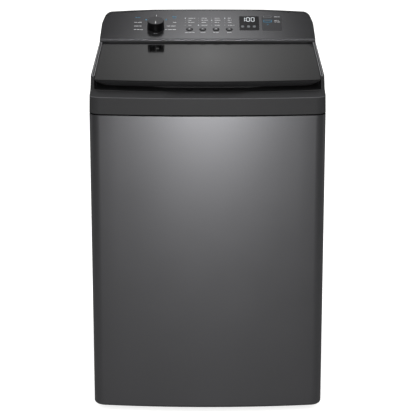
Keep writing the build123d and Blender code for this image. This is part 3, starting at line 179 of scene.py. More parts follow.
# Smoked acrylic: near black and polished
smoked_acrylic = finish("smoked_acrylic", "#101012", 0.20, 4.0, 0.02, IOR=1.49, Specular_IOR_Level=0.05)
# Lacquered ABS of the push buttons: satin grey
button_lacquer = finish("satin_lacquered_abs", "#48484a", 0.34, 0.6, Metallic=0.6)
# Plated and spun face of the knob: dark metal with a soft light across it
spun_plating = finish("spun_satin_plating", "#3b3b3d", 0.30, 0.5, Metallic=0.9)
# White polypropylene as moulded: milky, with a soft sheen
white_pp = finish("moulded_white_polypropylene", "#d9dad6", 0.42, 2.0, relief_mm=0.02, IOR=1.49)
# Grey polypropylene whose glass fibres roughen the surface: plain and dull
grey_pp = finish("glass_filled_grey_polypropylene", "#8b8e90", 0.50, 2.0, relief_mm=0.03, IOR=1.49)
# Circuit laminate under green lacquer: even colour, half bright
board_laminate = finish("green_circuit_laminate", "#1d5a37", 0.38, 1.5, IOR=1.54)
# Near-black matt sheet for the seam strip: painted shade that swallows light
seam_shade_black = finish("black_sheet_of_painted_seam_shade", "#060606", 0.9, 1.0, relief_mm=0.05, IOR=1.4,
                    Specular_IOR_Level=0.02)
# Moulded rubber: soft black with hardly a highlight
black_rubber = finish("moulded_black_rubber", "#171717", 0.68, 1.2, relief_mm=0.05, IOR=1.52)
# Aluminium cast in sand: pale metal with the sand's coarse skin
cast_alloy = finish("sand_cast_aluminium", "#a7a9ab", 0.48, 1.4, relief_mm=0.06, Metallic=1.0)
# Black enamel stoved on the motor: near black with a soft shine
motor_enamel = finish("stoved_black_enamel", "#2a2c2f", 0.40, 1.8, relief_mm=0.02)

finish_of_slot = {
    "graphite_steel": flake_enamel, "zinc_steel": zinc_sheet, "stainless": satin_stainless,
    "spring_steel": spring_wire, "cover_plastic": cover_abs, "lid_plastic": lid_lacquer,
    "black_plastic": black_abs, "fascia_plastic": fascia_lacquer, "lens_plastic": smoked_acrylic,
    "button_plastic": button_lacquer, "knob_metal": spun_plating, "white_plastic": white_pp,
    "grey_plastic": grey_pp, "board": board_laminate, "rubber": black_rubber,
    "cast_aluminium": cast_alloy, "motor_paint": motor_enamel,
}
finish_of_node = {"knob": knob_abs}
for node, solid in frame["nodes"].items():
    solid.data.materials.clear()
    solid.data.materials.append(finish_of_node.get(node, finish_of_slot[slot_of[node]]))


# Smooth copies of the solids

# Pieces that bend across the tub's travel: the springs from their cups up to the tub's lugs, and the drain
# hose from the pump up to its outlet
spring_low, spring_high = 0.2475, 0.3285
hose_low, hose_high = 0.22, 0.56
bends = {
    "suspension_springs": ("machine", "tub", (0.0, 0.0, spring_low), (0.0, 0.0, spring_high)),
    "drain_hose": ("tub", "machine", (0.0, 0.0, hose_low), (0.0, 0.0, hose_high)),
}


def new_piece(name, mesh, body, material=None, bend=None):
    """Object at the origin that carries a mesh and moves with a body; given a bend, it is left unattached with
    its place baked in.
    """
    if material is not None:
        mesh.materials.append(material)
    piece = bpy.data.objects.new(name, mesh)
    scene.collection.objects.link(piece)
    if bend:
        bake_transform(piece)
    else:
        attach(piece, body)
    return piece


weld = 1e-6
flat_fold, least_fold, sharp_fold = radians(0.2), radians(18.0), radians(28.0)
coarse_round, fine_round = 3, 6  # steps across a round


def smooth_copy(node, edge_mm=0.0, edge_highlight=None, edge_box=None):
    """The node's own surface, its triangles joined, smooth over round faces, with rounds on its sharp edges.

    With an edge_box, a lowest and a highest corner, only the sharp edges inside it are rounded.
    """
    mesh = frame["nodes"][node].data.copy()
    if "custom_normal" in mesh.attributes:
        mesh.attributes.remove(mesh.attributes["custom_normal"])
    shape = bmesh.new()
    shape.from_mesh(mesh)
    bmesh.ops.remove_doubles(shape, verts=shape.verts, dist=weld)
    if edge_mm:
        bmesh.ops.dissolve_limit(shape, angle_limit=flat_fold, verts=shape.verts, edges=shape.edges)
    if edge_box:
        weight = shape.edges.layers.float.new("bevel_weight_edge")
        for edge in shape.edges:
            ends = np.array([end.co for end in edge.verts])
            inside = np.all(ends >= edge_box[0]) and np.all(ends <= edge_box[1])
            edge[weight] = float(inside and edge.calc_face_angle(0.0) > least_fold)
    shape.to_mesh(mesh)
    shape.free()
    mesh.shade_smooth()
    mesh.set_sharp_from_angle(angle=sharp_fold)
    piece = new_piece(f"{node}_finish", mesh, body_of[node], bend=bends.get(node))
    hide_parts(node)
    if edge_mm:
        rounds = piece.modifiers.new("small_rounds", "BEVEL")
        rounds.width = edge_mm / 1000.0
        rounds.segments = fine_round if edge_box else coarse_round
        rounds.limit_method = "WEIGHT" if edge_box else "ANGLE"
        rounds.angle_limit = sharp_fold
        even = piece.modifiers.new("even_shading", "WEIGHTED_NORMAL")
        even.keep_sharp = True
    # The rounds get the lighter material of a painted highlight
    if edge_highlight:
        mesh.materials.append(edge_highlight)
        rounds.material = 1


# Edges that catch the light: the fold between brow and band, the console's nose, and the knob all over
edge_rounds = {"top_cover": 1.2, "console_fascia": 3.0, "knob": 0.6}
# The fold and the nose rounds take lighter materials: painted highlights along these edges
edge_highlights = {"top_cover": fold_highlight_abs, "console_fascia": nose_highlight_lacquer}
nose_y, nose_low, nose_high = 0.1020, 1.0050, 1.0100
fold_z, fold_rear = 0.9100, -0.25
near, past_edge = 0.0001, 0.4
edge_boxes = {
    "console_fascia": ((-past_edge, nose_y - near, nose_low), (past_edge, nose_y + near, nose_high)),
    "top_cover": ((-past_edge, -past_edge, fold_z - near), (past_edge, fold_rear, fold_z + near)),
}
round_nodes = [
    "cabinet", "back_panel", "top_cover", "console_housing", "console_fascia", "lid_panel", "lid_frame",
    "lid_liner", "knob", "knob_face", "option_button_1", "option_button_2", "option_button_3",
    "option_button_4", "power_button", "start_button", "balance_ring", "impeller", "tub_ring", "outer_tub",
    "basket_base", "lint_filters", "foot_front_left", "foot_front_right", "foot_rear_left", "foot_rear_right",
    "inlet_valve", "drain_outlet", "cord_gland", "lid_hinge_pins", "lid_bumpers", "detergent_drawer",
    "drain_hose", "fill_hose", "sump_hose", "drive_pulley", "motor_pulley", "drive_belt", "drive_motor",
    "drain_pump", "suspension_springs", "suspension_rods", "spring_cups", "bearing_housing", "wash_shaft",
    "spin_tube",
]
for node in round_nodes:
    smooth_copy(node, edge_rounds.get(node, 0.0), edge_highlights.get(node), edge_boxes.get(node))


# Fine pieces that the solids leave plain

def joined_mesh(name, points, quads, sheet, join, smooth_angle):
    """Mesh of quads with near points joined, as thick as its sheet if it has one, with its faces outwards."""
    mesh = bpy.data.meshes.new(name)
    mesh.from_pydata(points.reshape(-1, 3).tolist(), [], quads.reshape(-1, 4).tolist())
    shape = bmesh.new()
    shape.from_mesh(mesh)
    bmesh.ops.remove_doubles(shape, verts=shape.verts, dist=join)
    if sheet:
        bmesh.ops.solidify(shape, geom=shape.faces[:], thickness=sheet)
    bmesh.ops.recalc_face_normals(shape, faces=shape.faces)
    shape.to_mesh(mesh)
    shape.free()
    mesh.shade_smooth()
    mesh.set_sharp_from_angle(angle=radians(smooth_angle))
    return mesh


def skin(name, points, body, material, closed=(False, False), sheet=0.0):
    """Piece of quads over a grid of points in rows and columns, joined end to end where closed."""
    index = np.arange(points.shape[0] * points.shape[1]).reshape(points.shape[:2])
    index = np.vstack([index, index[:1]]) if closed[0] else index
    index = np.hstack([index, index[:, :1]]) if closed[1] else index
    quads = np.stack([index[:-1, :-1], index[:-1, 1:], index[1:, 1:], index[1:, :-1]], axis=-1)
    mesh = joined_mesh(name, points, quads, sheet, join=weld, smooth_angle=35.0)
    return new_piece(name, mesh, body, material)


def about_basket(radius, turn, height):
    """Points about the basket's upright axis from arrays, in metres and radians."""
    radius, turn, height = np.broadcast_arrays(radius, turn, height)
    return np.stack([radius * np.cos(turn), axis_y + radius * np.sin(turn), height], axis=-1)


def perforated_wall(name, columns, rows, hole_radius, flutes, flute_depth, sheet):
    """Basket wall of cells, each a ring of eight quads between the cell's edge and its round hole.

    Cell (i, j) lies at turn (i + 1/2 in each second row)/columns and height (j + 1/2)/rows, so its holes are
    staggered. The radius is the basket's, less its sheet and a flute depth times the eighth power of the
    cosine of half the flute count times the turn.
    """
    edge = np.array([(1, 0), (1, 1), (0, 1), (-1, 1), (-1, 0), (-1, -1), (0, -1), (1, -1)]) / 2
    spoke = np.arange(8) * np.pi / 4
    cell_turn = 2 * np.pi / columns
    cell_height = (basket_high - basket_low) / rows
    hole = np.stack([np.cos(spoke) / (basket_radius * cell_turn), np.sin(spoke) / cell_height], axis=-1)
    ring = np.stack([edge, hole_radius * hole])
    i, j = np.meshgrid(np.arange(columns), np.arange(rows), indexing="ij")
    centre = np.stack([i + (j % 2) / 2, j + 0.5], axis=-1).reshape(-1, 1, 1, 2)
    place = centre + ring
    turn = place[..., 0] * cell_turn
    height = basket_low + place[..., 1] * cell_height
    radius = basket_radius - sheet - flute_depth * np.cos(flutes * turn / 2) ** 8
    points = about_basket(radius, turn, height)
    index = np.arange(points[..., 0].size).reshape(-1, 2, 8)
    following = np.roll(index, -1, axis=2)
    quads = np.stack([index[:, 0], following[:, 0], following[:, 1], index[:, 1]], axis=-1)
    mesh = joined_mesh(name, points, quads, sheet, join=1e-5, smooth_angle=40.0)
    wall = new_piece(name, mesh, "basket", satin_stainless)
    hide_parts("basket_shell")


perforated_wall("perforated_basket_wall", columns=72, rows=18, hole_radius=0.0022, flutes=12,
                flute_depth=0.005, sheet=0.0008)

# Louvred faces of the two lint filters: the radius dips by a raised cosine of the height, and fades to the
# flat face at its rim
louvre_pitch, louvre_depth, louvre_sheet = 0.006, 0.0009, 0.0002
filter_radius, filter_middle, filter_half_height, filter_half_turn = 0.23395, 0.535, 0.090, 0.128
rim_up, rim_across = 12, 6  # the fade takes one part in so many of each half
louvre = np.linspace(-1, 1, 121)
across = np.linspace(-1, 1, 17)
fade_up = np.clip((1 - np.abs(louvre)) * rim_up, 0, 1)
fade_across = np.clip((1 - np.abs(across)) * rim_across, 0, 1)
wave = 0.5 + 0.5 * np.cos(2 * np.pi * louvre * filter_half_height / louvre_pitch)
dip = louvre_depth * (fade_up[:, None] * fade_across) * wave[:, None]
filter_height = (filter_middle + louvre * filter_half_height)[:, None]
for side, middle in (("left", np.pi), ("right", 0.0)):
    face = about_basket(filter_radius - dip, middle + across * filter_half_turn, filter_height)
    skin(f"lint_filter_louvres_{side}", face, "basket", grey_pp, sheet=louvre_sheet)


def plan_outline(inset):
    """Outline of the cabinet in plan, inset by a distance: the bowed front and round corners are arcs."""
    bow_radius = (half_width ** 2 + front_bow ** 2) / (2 * front_bow)
    bow_centre = front_y + bow_radius
    corner_x = half_width - corner_radius
    corner_y = bow_centre - np.sqrt((bow_radius - corner_radius) ** 2 - corner_x ** 2)
    lean = np.arctan2(corner_x, bow_centre - corner_y)
    bow = np.linspace(-lean, lean, 49)
    front = np.stack([np.sin(bow), -np.cos(bow)], axis=-1) * (bow_radius - inset) + (0.0, bow_centre)
    corner = np.linspace(lean, np.pi / 2, 13)[1:]
    right = np.stack([np.sin(corner), -np.cos(corner)], axis=-1) * (corner_radius - inset)
    right = right + (corner_x, corner_y)
    rear = np.linspace(0, np.pi / 2, 7)
    back = np.stack([np.cos(rear), np.sin(rear)], axis=-1) * (rear_radius - inset)
    back = back + (half_width - rear_radius, back_y - rear_radius)
    left = np.concatenate([right, back])[::-1] * (-1, 1)
    return np.concatenate([front, right, back, left])


# Black strip in the seam between the cabinet and the plastic top, a painted shade that darkens the seam line:
# a flat strip round the plan, proud of the seam's floor
shade_strip_low, shade_strip_high = 0.8603, 0.8637
shade_strip_face, shade_strip_back = 0.0020, 0.0024
shade_strip_section = ((shade_strip_face, shade_strip_low), (shade_strip_face, shade_strip_high), (shade_strip_back, shade_strip_high), (shade_strip_back, shade_strip_low))
shade_strip_points = np.stack([np.insert(plan_outline(inset), 2, height, axis=1) for inset, height in shade_strip_section])
skin("seam_shade_strip", shade_strip_points, "machine", seam_shade_black, closed=(True, True))

bead_x, bead_gap = 0.3150, 0.0050
bead_width, bead_height, bead_sink = 0.0018, 0.0005, 0.00005
bead_front, bead_rear = -0.258, 0.098


def rail_bead(name, side):
    """Raised line on a side rail: a half-round carried along a hairpin.

    The hairpin is two straight runs joined by a half circle at the front. The path gives (x, y) and the way
    across it, the rail's slope gives the height, and each end closes flat.
    """
    turn = np.linspace(0, np.pi, 13)
    half_circle = np.column_stack([np.cos(turn), -np.sin(turn)])
    way_across = np.concatenate([[(1.0, 0.0)], half_circle, [(-1.0, 0.0)]])
    along = np.array([bead_rear, *[bead_front] * len(turn), bead_rear])
    path = way_across * bead_gap / 2 + np.column_stack([np.zeros(len(along)), along])
    around = np.linspace(0, np.pi, 7)
    plan = path + way_across * (bead_width / 2 * np.cos(around))[:, None, None]
    rise = bead_height * np.sin(around)[:, None] - bead_sink
    height = lid_front_z + (plan[..., 1] - lid_front_y) * np.tan(lid_slope) + rise
    points = np.concatenate([plan + (side * bead_x, 0.0), height[..., None]], axis=-1)
    first, last = (np.broadcast_to(points[:, end].mean(axis=0), (len(points), 1, 3)) for end in (0, -1))
    points = np.concatenate([first, points, last], axis=1)
    # The bead's light grey is a painted highlight along the rail's edge
    skin(name, points, "machine", rail_bead_highlight_abs, closed=(True, False))


rail_bead("rail_bead_left", -1)
rail_bead("rail_bead_right", 1)


def sleeve(name, x, z, along, radius, bore, node):
    """Ring about a line along Y, in the finish of a node, closed by its bore.

    Its outside is a grid of radii, over rows along the line and turns about it.
    """
    turn = np.linspace(0, 2 * np.pi, radius.shape[1], endpoint=False)
    radii = np.concatenate([radius, np.full(radius.shape, bore)])
    rows = np.broadcast_to(np.concatenate([along, along[::-1]])[:, None], radii.shape)
    points = np.stack([x + radii * np.cos(turn), rows, z + radii * np.sin(turn)], axis=-1)
    skin(name, points, "machine", finish_of_slot[slot_of[node]], closed=(True, True))


# Pipe threads on the two water inlets: the ridge is a raised cosine of the distance along, in pitches, less
# the share of a turn, and runs out over one pitch at each end
round_steps = 40
port_xs = {"left": 0.150, "right": 0.204}
port_z, port_radius, port_foot, port_end = 0.902, 0.0132, 0.3185, 0.3345
port_bore = port_radius - 0.0004
thread_pitch, thread_depth, thread_lift = 0.0018, 0.0009, 0.00005
port_along = np.linspace(port_foot, port_end, 73)
port_turn = np.linspace(0, 1, round_steps, endpoint=False)
run_out = np.clip(np.minimum(port_along - port_along[0], port_along[-1] - port_along) / thread_pitch, 0, 1)
ridge = 0.5 + 0.5 * np.cos(2 * np.pi * (port_along[:, None] / thread_pitch - port_turn))
thread_radius = port_radius + thread_lift + thread_depth * run_out[:, None] * ridge
for side, x in port_xs.items():
    sleeve(f"inlet_thread_{side}", x, port_z, port_along, thread_radius, port_bore, "inlet_valve")

# Barbs on the drain spigot: a sawtooth that rises towards the cabinet over each pitch
spigot_x, spigot_z, spigot_foot, spigot_end = 0.150, 0.600, 0.3185, 0.3346
spigot_radius, spigot_bore = 0.01105, 0.0107
barb_pitch, barb_height = 0.0054, 0.0012
barb_along = np.linspace(spigot_foot, spigot_end, 49)
barb = barb_height * (1 - ((barb_along - barb_along[0]) / barb_pitch) % 1.0)
barb_radius = np.repeat((spigot_radius + barb)[:, None], round_steps, axis=1)
sleeve("drain_spigot_barbs", spigot_x, spigot_z, barb_along, barb_radius, spigot_bore, "drain_outlet")

# Pan heads of the back panel's screws: a flattened dome, less a cross where the cosine of four times the turn
# is high
screw_x, screw_low, screw_high, screw_rows = 0.302, 0.0276, 0.8464, 5
head_radius, head_height, head_foot, head_flatness = 0.0045, 0.0026, 0.3122, 0.75
cross_depth, arm_end, hub_end, arm_level, arm_steepness = 0.0012, 0.6, 0.2, 0.1, 4
head_turn = np.linspace(0, 2 * np.pi, 32, endpoint=False)
head_out = np.array([0.0, 0.15, 0.3, 0.45, 0.55, 0.62, 0.75, 0.9, 1.0, 1.0, 0.0])[:, None]
dome = head_height * np.sqrt(1 - head_flatness * head_out ** 2) + 0 * head_turn
arms = np.clip((np.cos(4 * head_turn) - arm_level) * arm_steepness, 0, 1) * (head_out < arm_end)
hub = head_out < hub_end
head_rise = dome - cross_depth * np.clip(arms + hub, 0, 1)
head_rise[-2:] = 0.0  # the rim's foot and the closed underside
screw_heads = []
for x in (-screw_x, screw_x):
    for z in np.linspace(screw_low, screw_high, screw_rows):
        head = np.stack([x + head_radius * head_out * np.cos(head_turn), head_foot + head_rise,
                         z + head_radius * head_out * np.sin(head_turn)], axis=-1)
        screw_heads.append(skin(f"back_panel_screw_{len(screw_heads) + 1}", head, "machine",
                                zinc_sheet, closed=(False, True)))
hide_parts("back_panel_screws")


# Printed marks on the console face, in millimetres across it and up its slope

# Matt screen inks: flat thin colour that keeps the face's grain. The white one also paints the highlight dots
# on the option buttons.
white_print_and_highlight_ink = finish("white_screen_ink_and_painted_highlight", "#a9aaab", 0.55, 0.5, IOR=1.5, Specular_IOR_Level=0.2)
dim_ink = finish("grey_screen_ink", "#77787a", 0.55, 0.5, IOR=1.5, Specular_IOR_Level=0.2)
blue_ink = finish("blue_screen_ink", "#396379", 0.55, 0.5, IOR=1.5, Specular_IOR_Level=0.2)
dark_ink = finish("black_screen_ink", "#0b0b0c", 0.60, 0.5, IOR=1.5, Specular_IOR_Level=0.05)
# Lamps and figures that glow behind the smoked lens: white at two levels
lit_segment = new_material("lit_display_segment", Base_Color=linear("#202224"), Roughness=0.4,
                           Emission_Color=linear("#e8eef2"), Emission_Strength=0.8)[0]
dim_segment = new_material("dim_display_sign", Base_Color=linear("#202224"), Roughness=0.4,
                           Emission_Color=linear("#9aa0a4"), Emission_Strength=0.3)[0]
# Screen ink with metal flake round the power and start buttons: a shade darker than the face, with its sheen
panel_ink = finish("graphite_screen_ink", "#3c3c3e", 0.36, 0.8, Metallic=0.8)


def on_face(x, along, rise):
    """Points on the console face from arrays, in millimetres: sideways, up the slope, and off the face."""
    x, along, rise = np.broadcast_arrays(x, along, rise)
    y = console_y + (along * cos(face_slope) - rise * sin(face_slope)) / 1000.0
    z = face_z + (along * sin(face_slope) + rise * cos(face_slope)) / 1000.0
    return np.stack([x / 1000.0, y, z], axis=-1)


ink_depth = 0.1
under_rise, ink_rise, lamp_rise = 0.03, 0.06, 0.12  # a print under others, a print, and a lit lamp
button_rise, knob_rise = 1.66, 24.06  # prints on the faces of the buttons and the knob
oval, pill = 2.0, 4.0  # powers of the superellipse
fine_sides = 32


def printed_patch(name, spots, material, size, body="machine", rise=ink_rise,
                  power=8.0, sides=16):
    """Thin raised marks on the console face, one for each (x, along) spot, of one size or a size for each.

    Each is a closed prism on a superellipse: half sizes times the signed power 2/n of cosine and sine.
    """
    turn = np.linspace(0, 2 * np.pi, sides, endpoint=False)
    spots = np.array(spots, float).reshape(-1, 2)
    half = np.broadcast_to(np.array(size, float) / 2, spots.shape)
    across = half[:, :1] * np.sign(np.cos(turn)) * np.abs(np.cos(turn)) ** (2 / power)
    up = half[:, 1:] * np.sign(np.sin(turn)) * np.abs(np.sin(turn)) ** (2 / power)
    levels = np.array([rise, rise - ink_depth])[:, None, None]
    points = on_face(spots[:, :1] + across, spots[:, 1:] + up, levels)
    top, foot = np.arange(2 * len(spots) * sides).reshape(2, -1, sides)
    wall = np.stack([foot, np.roll(foot, -1, axis=1), np.roll(top, -1, axis=1), top], axis=-1).reshape(-1, 4)
    faces = [*top.tolist(), *foot[:, ::-1].tolist(), *wall.tolist()]
    mesh = bpy.data.meshes.new(name)
    mesh.from_pydata(points.reshape(-1, 3).tolist(), [], faces)
    new_piece(name, mesh, body, material)


dash_gap = 1.6


def printed_rows(name, rows, height, material):
    """Rows of plain dashes: each row starts at (x, along) and has dashes of the given lengths."""
    spots, sizes = [], []
    for x, along, lengths in rows:
        starts = x + np.cumsum([0.0, *lengths[:-1]]) + dash_gap * np.arange(len(lengths))
        spots += [(start + length / 2, along) for start, length in zip(starts, lengths)]
        sizes += [(length, height) for length in lengths]
    printed_patch(name, spots, material, sizes)


# Programme rows either side of the knob, with a tick above it and a short row below
knob_x = -155.0
programme_height, accent_height, stop_height = 3.2, 3.6, 1.8
left_rows = [(-220.5, 100.0, (9.0, 11.5)), (-220.5, 77.0, (14.0, 6.5)), (-220.5, 55.0, (6.5, 9.0, 8.5))]
right_rows = [(-104.0, 100.0, (10.0,)), (-123.0, 77.0, (11.0, 16.0)), (-128.0, 55.0, (7.0, 13.0, 10.5))]
accent_rows = [(-219.0, 131.0, (6.0, 8.0)), (-107.0, 136.0, (13.0,)), (-105.0, 128.0, (10.0,))]
accent_spots = [(-185.0, 117.0), (-125.0, 117.0)]
printed_rows("programme_rows_left", left_rows, programme_height, white_print_and_highlight_ink)
printed_rows("programme_rows_right", right_rows, programme_height, white_print_and_highlight_ink)
printed_rows("programme_rows_blue", accent_rows, accent_height, blue_ink)
printed_patch("programme_dots_blue", accent_spots, blue_ink, size=(6.0, 8.0), power=oval)
printed_patch("start_tick", [(knob_x, 142.0)], white_print_and_highlight_ink, size=(2.0, 9.0))
printed_rows("stop_mark", [(-160.0, 31.0, (4.5, 4.0))], stop_height, dim_ink)

# Option columns: four short rows with a lamp each, over a round button and its label
option_xs = (-54.0, -14.4, 25.2, 64.8)
option_alongs = (126.0, 113.0, 100.0, 82.0)
option_height, lamp_offset, row_offset = 2.8, -13.0, 9.0
row_dashes = (
    (15.0, 4.0), (9.0,), (6.0, 11.0), (10.0,),
    (8.0, 6.0), (6.0, 12.0), (14.0,), (7.0, 9.0),
    (10.0, 3.0), (18.0,), (8.0, 4.0), (6.0, 8.0),
    (9.0,), (7.0, 3.0), (11.0,), (5.0, 7.0, 5.0),
)
label_rows = [(-68.0, 37.0, (9.0, 10.0, 7.0)), (-21.0, 37.0, (14.0,)), (17.0, 37.0, (6.0, 9.0)),
              (58.0, 37.0, (13.0,))]
ring_along, dot_along = 56.0, 57.0
lit_lamps = (0, 7, 9, 12)
lamp_spots = [(x + lamp_offset, along) for x in option_xs for along in option_alongs]
option_rows = [(x + row_offset, along, dashes) for (x, along), dashes in zip(lamp_spots, row_dashes)]
printed_rows("option_rows", option_rows, option_height, white_print_and_highlight_ink)
printed_patch("option_lamps", lamp_spots, dim_ink, size=(2.6, 3.4), power=oval)
printed_patch("option_lamps_lit", [lamp_spots[lamp] for lamp in lit_lamps], lit_segment, size=(3.4, 5.4),
              rise=lamp_rise, power=oval)
printed_rows("option_labels", label_rows, option_height, white_print_and_highlight_ink)
printed_patch("option_rings", [(x, ring_along) for x in option_xs], dark_ink, size=(20.0, 22.0),
              rise=under_rise, power=oval, sides=fine_sides)
# Each option button gets a light dot: a painted highlight at the button's centre
for place, x in enumerate(option_xs, 1):
    button = f"option_button_{place}"
    printed_patch(f"{button}_dot", [(x, dot_along)], white_print_and_highlight_ink, size=(3.4, 4.6), body=button,
                  rise=button_rise, power=oval)

# Side panel: a darker print round the power and start buttons
side_x = 180.5
side_rows = [(201.0, 134.0, (9.0, 7.0)), (201.0, 111.0, (8.0, 4.0)), (201.0, 102.0, (6.0, 9.0))]
side_height = 3.0
printed_patch("side_panel", [(193.0, 92.0)], panel_ink, size=(60.0, 90.0), rise=under_rise, power=12.0,
              sides=48)
printed_patch("start_ring", [(side_x, 108.0)], blue_ink, size=(27.0, 17.0), power=pill, sides=fine_sides)
printed_patch("power_ring", [(side_x, 136.0)], dim_ink, size=(25.0, 12.0), power=pill, sides=fine_sides)
printed_rows("side_rows", side_rows, side_height, white_print_and_highlight_ink)
printed_patch("start_lamp", [(side_x, 87.0)], blue_ink, size=(5.0, 6.5), power=oval)

# Display: seven-segment figures and three plain signs behind the lens face
figure_height, figure_width, stroke = 24.0, 9.0, 2.3
upright_gap, bar_gap, bar_stroke = 1.2, 2.0, 1.5 * stroke
figures = (("1", 107.0), ("0", 122.0), ("0", 136.0))
figure_along, colon_x = 118.0, 115.0
sign_xs, sign_along = (105.0, 123.0, 140.0), 74.0
segments_of = {"1": "bc", "0": "abcdef"}
# Each segment's place in shares of the figure's width and height, and 1 if it stands upright
places = {"a": (0, 0.5, 0), "b": (0.5, 0.25, 1), "c": (0.5, -0.25, 1), "d": (0, -0.5, 0),
          "e": (-0.5, -0.25, 1), "f": (-0.5, 0.25, 1)}
uprights, bars = [], []
for figure, x in figures:
    for segment in segments_of[figure]:
        across, up, standing = places[segment]
        spot = (x + across * figure_width, figure_along + up * figure_height)
        (uprights if standing else bars).append(spot)
printed_patch("display_uprights", uprights, lit_segment, size=(stroke, figure_height / 2 - upright_gap))
printed_patch("display_bars", bars, lit_segment, size=(figure_width - bar_gap, bar_stroke))
printed_patch("display_colon", [(colon_x, 112.0), (colon_x, 123.0)], lit_segment, size=(2.2, 3.2), power=oval)
printed_patch("display_signs", [(x, sign_along) for x in sign_xs], dim_segment, size=(9.0, 13.0), power=3.0)

# Pointer on the knob face, from near its centre to the near edge
printed_patch("knob_pointer", [(knob_x, 56.0)], white_print_and_highlight_ink, size=(3.0, 20.0), body="knob",
              rise=knob_rise, power=1.2)


# Studio: pale floor, white surround, soft lamps and cards that only shape reflections

def strip(left, right, foot, head):
    """Corners of a card between two sides, whose foot and head are edges at a (y, z)."""
    return [(left, *foot), (right, *foot), (right, *head), (left, *head)]


def flat_card(name, corners, material):
    """Flat four-cornered card."""
    mesh = bpy.data.meshes.new(name)
    mesh.from_pydata(corners, [], [(0, 1, 2, 3)])
    mesh.materials.append(material)
    card = bpy.data.objects.new(name, mesh)
    scene.collection.objects.link(card)
    return card


def glow_material(name):
    """Empty material for a floor or card that gives light."""
    material = bpy.data.materials.new(name)
    material.use_nodes = True
    material.node_tree.nodes.clear()
    return material, material.node_tree


def seen_ray(tree):
    """One for a ray that comes from the camera, a gloss or a clear piece, and zero for the rest."""
    path = add_node(tree, "ShaderNodeLightPath")
    either = add_node(tree, "ShaderNodeMath", {"operation": "MAXIMUM"},
                      _0=path.outputs["Is Camera Ray"], _1=path.outputs["Is Glossy Ray"])
    return add_node(tree, "ShaderNodeMath", {"operation": "MAXIMUM"},
                    _0=either.outputs[0], _1=path.outputs["Is Transmission Ray"]).outputs[0]


white = (1, 1, 1, 1)
floor_reach, floor_light, fill_light, white_light = 14.0, 0.72, 0.85, 1.0

# Pale matt floor: it holds the object's shadow, and glows enough to meet the white surround
floor_paint, tree = glow_material("pale_matt_floor")
floor_glow = add_node(tree, "ShaderNodeMath", {"operation": "MULTIPLY", 1: floor_light}, _0=seen_ray(tree))
glow = add_node(tree, "ShaderNodeEmission", {"Color": white}, Strength=floor_glow.outputs[0])
matt = add_node(tree, "ShaderNodeBsdfDiffuse", {"Color": linear("#d8d8d6")})
both = add_node(tree, "ShaderNodeAddShader", _0=glow.outputs[0], _1=matt.outputs[0])
add_node(tree, "ShaderNodeOutputMaterial", Surface=both.outputs[0])
flat_card("floor", strip(-floor_reach, floor_reach, (-floor_reach, 0), (floor_reach, 0)), floor_paint)

world = bpy.data.worlds.new("studio")
scene.world = world
world.use_nodes = True
tree = world.node_tree
tree.nodes.clear()
light_range = {"To Min": fill_light, "To Max": white_light}
sky = add_node(tree, "ShaderNodeMapRange", light_range, Value=seen_ray(tree))
surround = add_node(tree, "ShaderNodeBackground", {"Color": white}, Strength=sky.outputs[0])
add_node(tree, "ShaderNodeOutputWorld", Surface=surround.outputs[0])


def soft_lamp(name, place, target, size, watts):
    """Rectangular soft lamp aimed at a point."""
    lamp = bpy.data.lights.new(name, "AREA")
    lamp.shape = "RECTANGLE"
    lamp.size, lamp.size_y = size
    lamp.energy = watts
    stand = bpy.data.objects.new(name, lamp)
    stand.location = place
    stand.rotation_euler = (Vector(target) - Vector(place)).to_track_quat("-Z", "Y").to_euler()
    stand.visible_camera = False
    scene.collection.objects.link(stand)
    return stand


overhead = soft_lamp("overhead_softbox", place=(0.0, -0.4, 3.4), target=(0.0, -0.1, 0.9), size=(1.4, 0.9),
                     watts=35.0)
overhead.visible_glossy = False  # it fills the tub and leaves no second image in the lid and the console
soft_lamp("front_softbox", place=(0.0, -3.1, 0.91), target=(0.0, front_y, 0.80), size=(0.45, 0.30),
          watts=40.0)


def reflection_card(name, corners, edge, centre=None, middle=(0, 0, 0), spread=(1, 1, 1),
                    fall="QUADRATIC_SPHERE"):
    """Card seen only in reflections, as light as edge and centre say.

    The light falls off from the card's middle over the spread along each axis. Without a centre it is even.
    """
    material, tree = glow_material(name + "_light")
    place = add_node(tree, "ShaderNodeTexCoord").outputs["Object"]
    scale = [1.0 / reach for reach in spread]
    shift = [-spot / reach for spot, reach in zip(middle, spread)]
    scaled = add_node(tree, "ShaderNodeMapping", {"Location": shift, "Scale": scale}, Vector=place)
    bright = add_node(tree, "ShaderNodeTexGradient", {"gradient_type": fall}, Vector=scaled.outputs["Vector"])
    strength = add_node(tree, "ShaderNodeMapRange", {"To Min": edge, "To Max": centre or edge},
                        Value=bright.outputs["Fac"])
    light = add_node(tree, "ShaderNodeEmission", {"Color": white}, Strength=strength.outputs["Result"])
    add_node(tree, "ShaderNodeOutputMaterial", Surface=light.outputs[0])
    card = flat_card(name, corners, material)
    card.visible_camera = False
    card.visible_diffuse = False
    card.visible_shadow = False


# The cards' room: half widths, and the edges where cards meet as (y, z)
middle_half, room_half, under_cabinet = 1.2, 4.0, 0.30
room_front, room_back, room_low, room_high = -7.0, 2.6, 0.012, 4.0
front_foot, front_head = (room_front, room_low), (room_front, room_high)
cabinet_foot, floor_back = (-0.27, room_low), (room_back, room_low)
back_foot, back_head = (room_back, 0.02), (room_back, 3.4)
top_head, ceiling_head = (0.8, room_high), (-1.4, room_high)
surround_tone = 0.20
level = 9.0  # a spread so wide that the light hardly changes along that axis

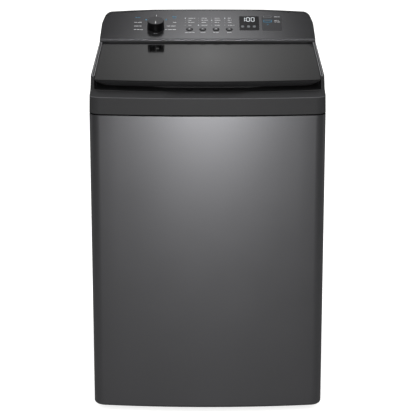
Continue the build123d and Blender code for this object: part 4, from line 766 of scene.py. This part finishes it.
reflection_card("back_card", strip(-middle_half, middle_half, back_foot, back_head),
                edge=0.06, centre=0.40, middle=(0, room_back, 2.0), spread=(0.95, level, 0.75))
reflection_card("top_card", strip(-middle_half, middle_half, back_head, top_head),
                edge=0.05, centre=5.7, middle=(0, 1.90, 3.5), spread=(0.47, 0.75, level), fall="SPHERICAL")
reflection_card("ceiling_card", strip(-room_half, room_half, ceiling_head, front_head), surround_tone)
reflection_card("front_card", strip(-room_half, room_half, front_foot, cabinet_foot), surround_tone)
reflection_card("camera_side_card", strip(-room_half, room_half, front_foot, front_head), surround_tone)
for side, sign in (("left", -1.0), ("right", 1.0)):
    near, inner, outer, wing_middle = under_cabinet * sign, middle_half * sign, room_half * sign, 2.9 * sign
    reflection_card(f"{side}_floor_card", strip(near, outer, cabinet_foot, floor_back), surround_tone)
    wall = [(outer, *front_foot), (outer, *floor_back), (outer, room_back, room_high), (outer, *front_head)]
    reflection_card(f"{side}_card", wall,
                    edge=0.04, centre=0.80, middle=(outer, 1.8, 1.0), spread=(level, 2.2, level))
    reflection_card(f"{side}_back_wing", strip(inner, outer, back_foot, back_head),
                    edge=0.06, centre=0.50, middle=(wing_middle, room_back, 2.0), spread=(1.7, level, 2.0))
    reflection_card(f"{side}_top_wing", strip(inner, outer, back_head, top_head),
                    edge=0.05, centre=1.20, middle=(wing_middle, room_back, 3.4), spread=(1.7, level, level))

# Camera at the photograph's angle
elevation = radians(14.5)
distance = 4.8
lens_pixels = 1620.0
image_pixels = 416
middle_height = 0.535
look_at = Vector((0.0, axis_y, middle_height))
lens = bpy.data.cameras.new("camera")
lens.sensor_width = 36.0
lens.lens = lens_pixels / image_pixels * lens.sensor_width
lens.shift_x = 0.001
lens.shift_y = -0.0125
camera = bpy.data.objects.new("camera", lens)
camera.location = look_at + distance * Vector((0.0, -cos(elevation), sin(elevation)))
camera.rotation_euler = (look_at - camera.location).to_track_quat("-Z", "Y").to_euler()
scene.collection.objects.link(camera)
scene.camera = camera
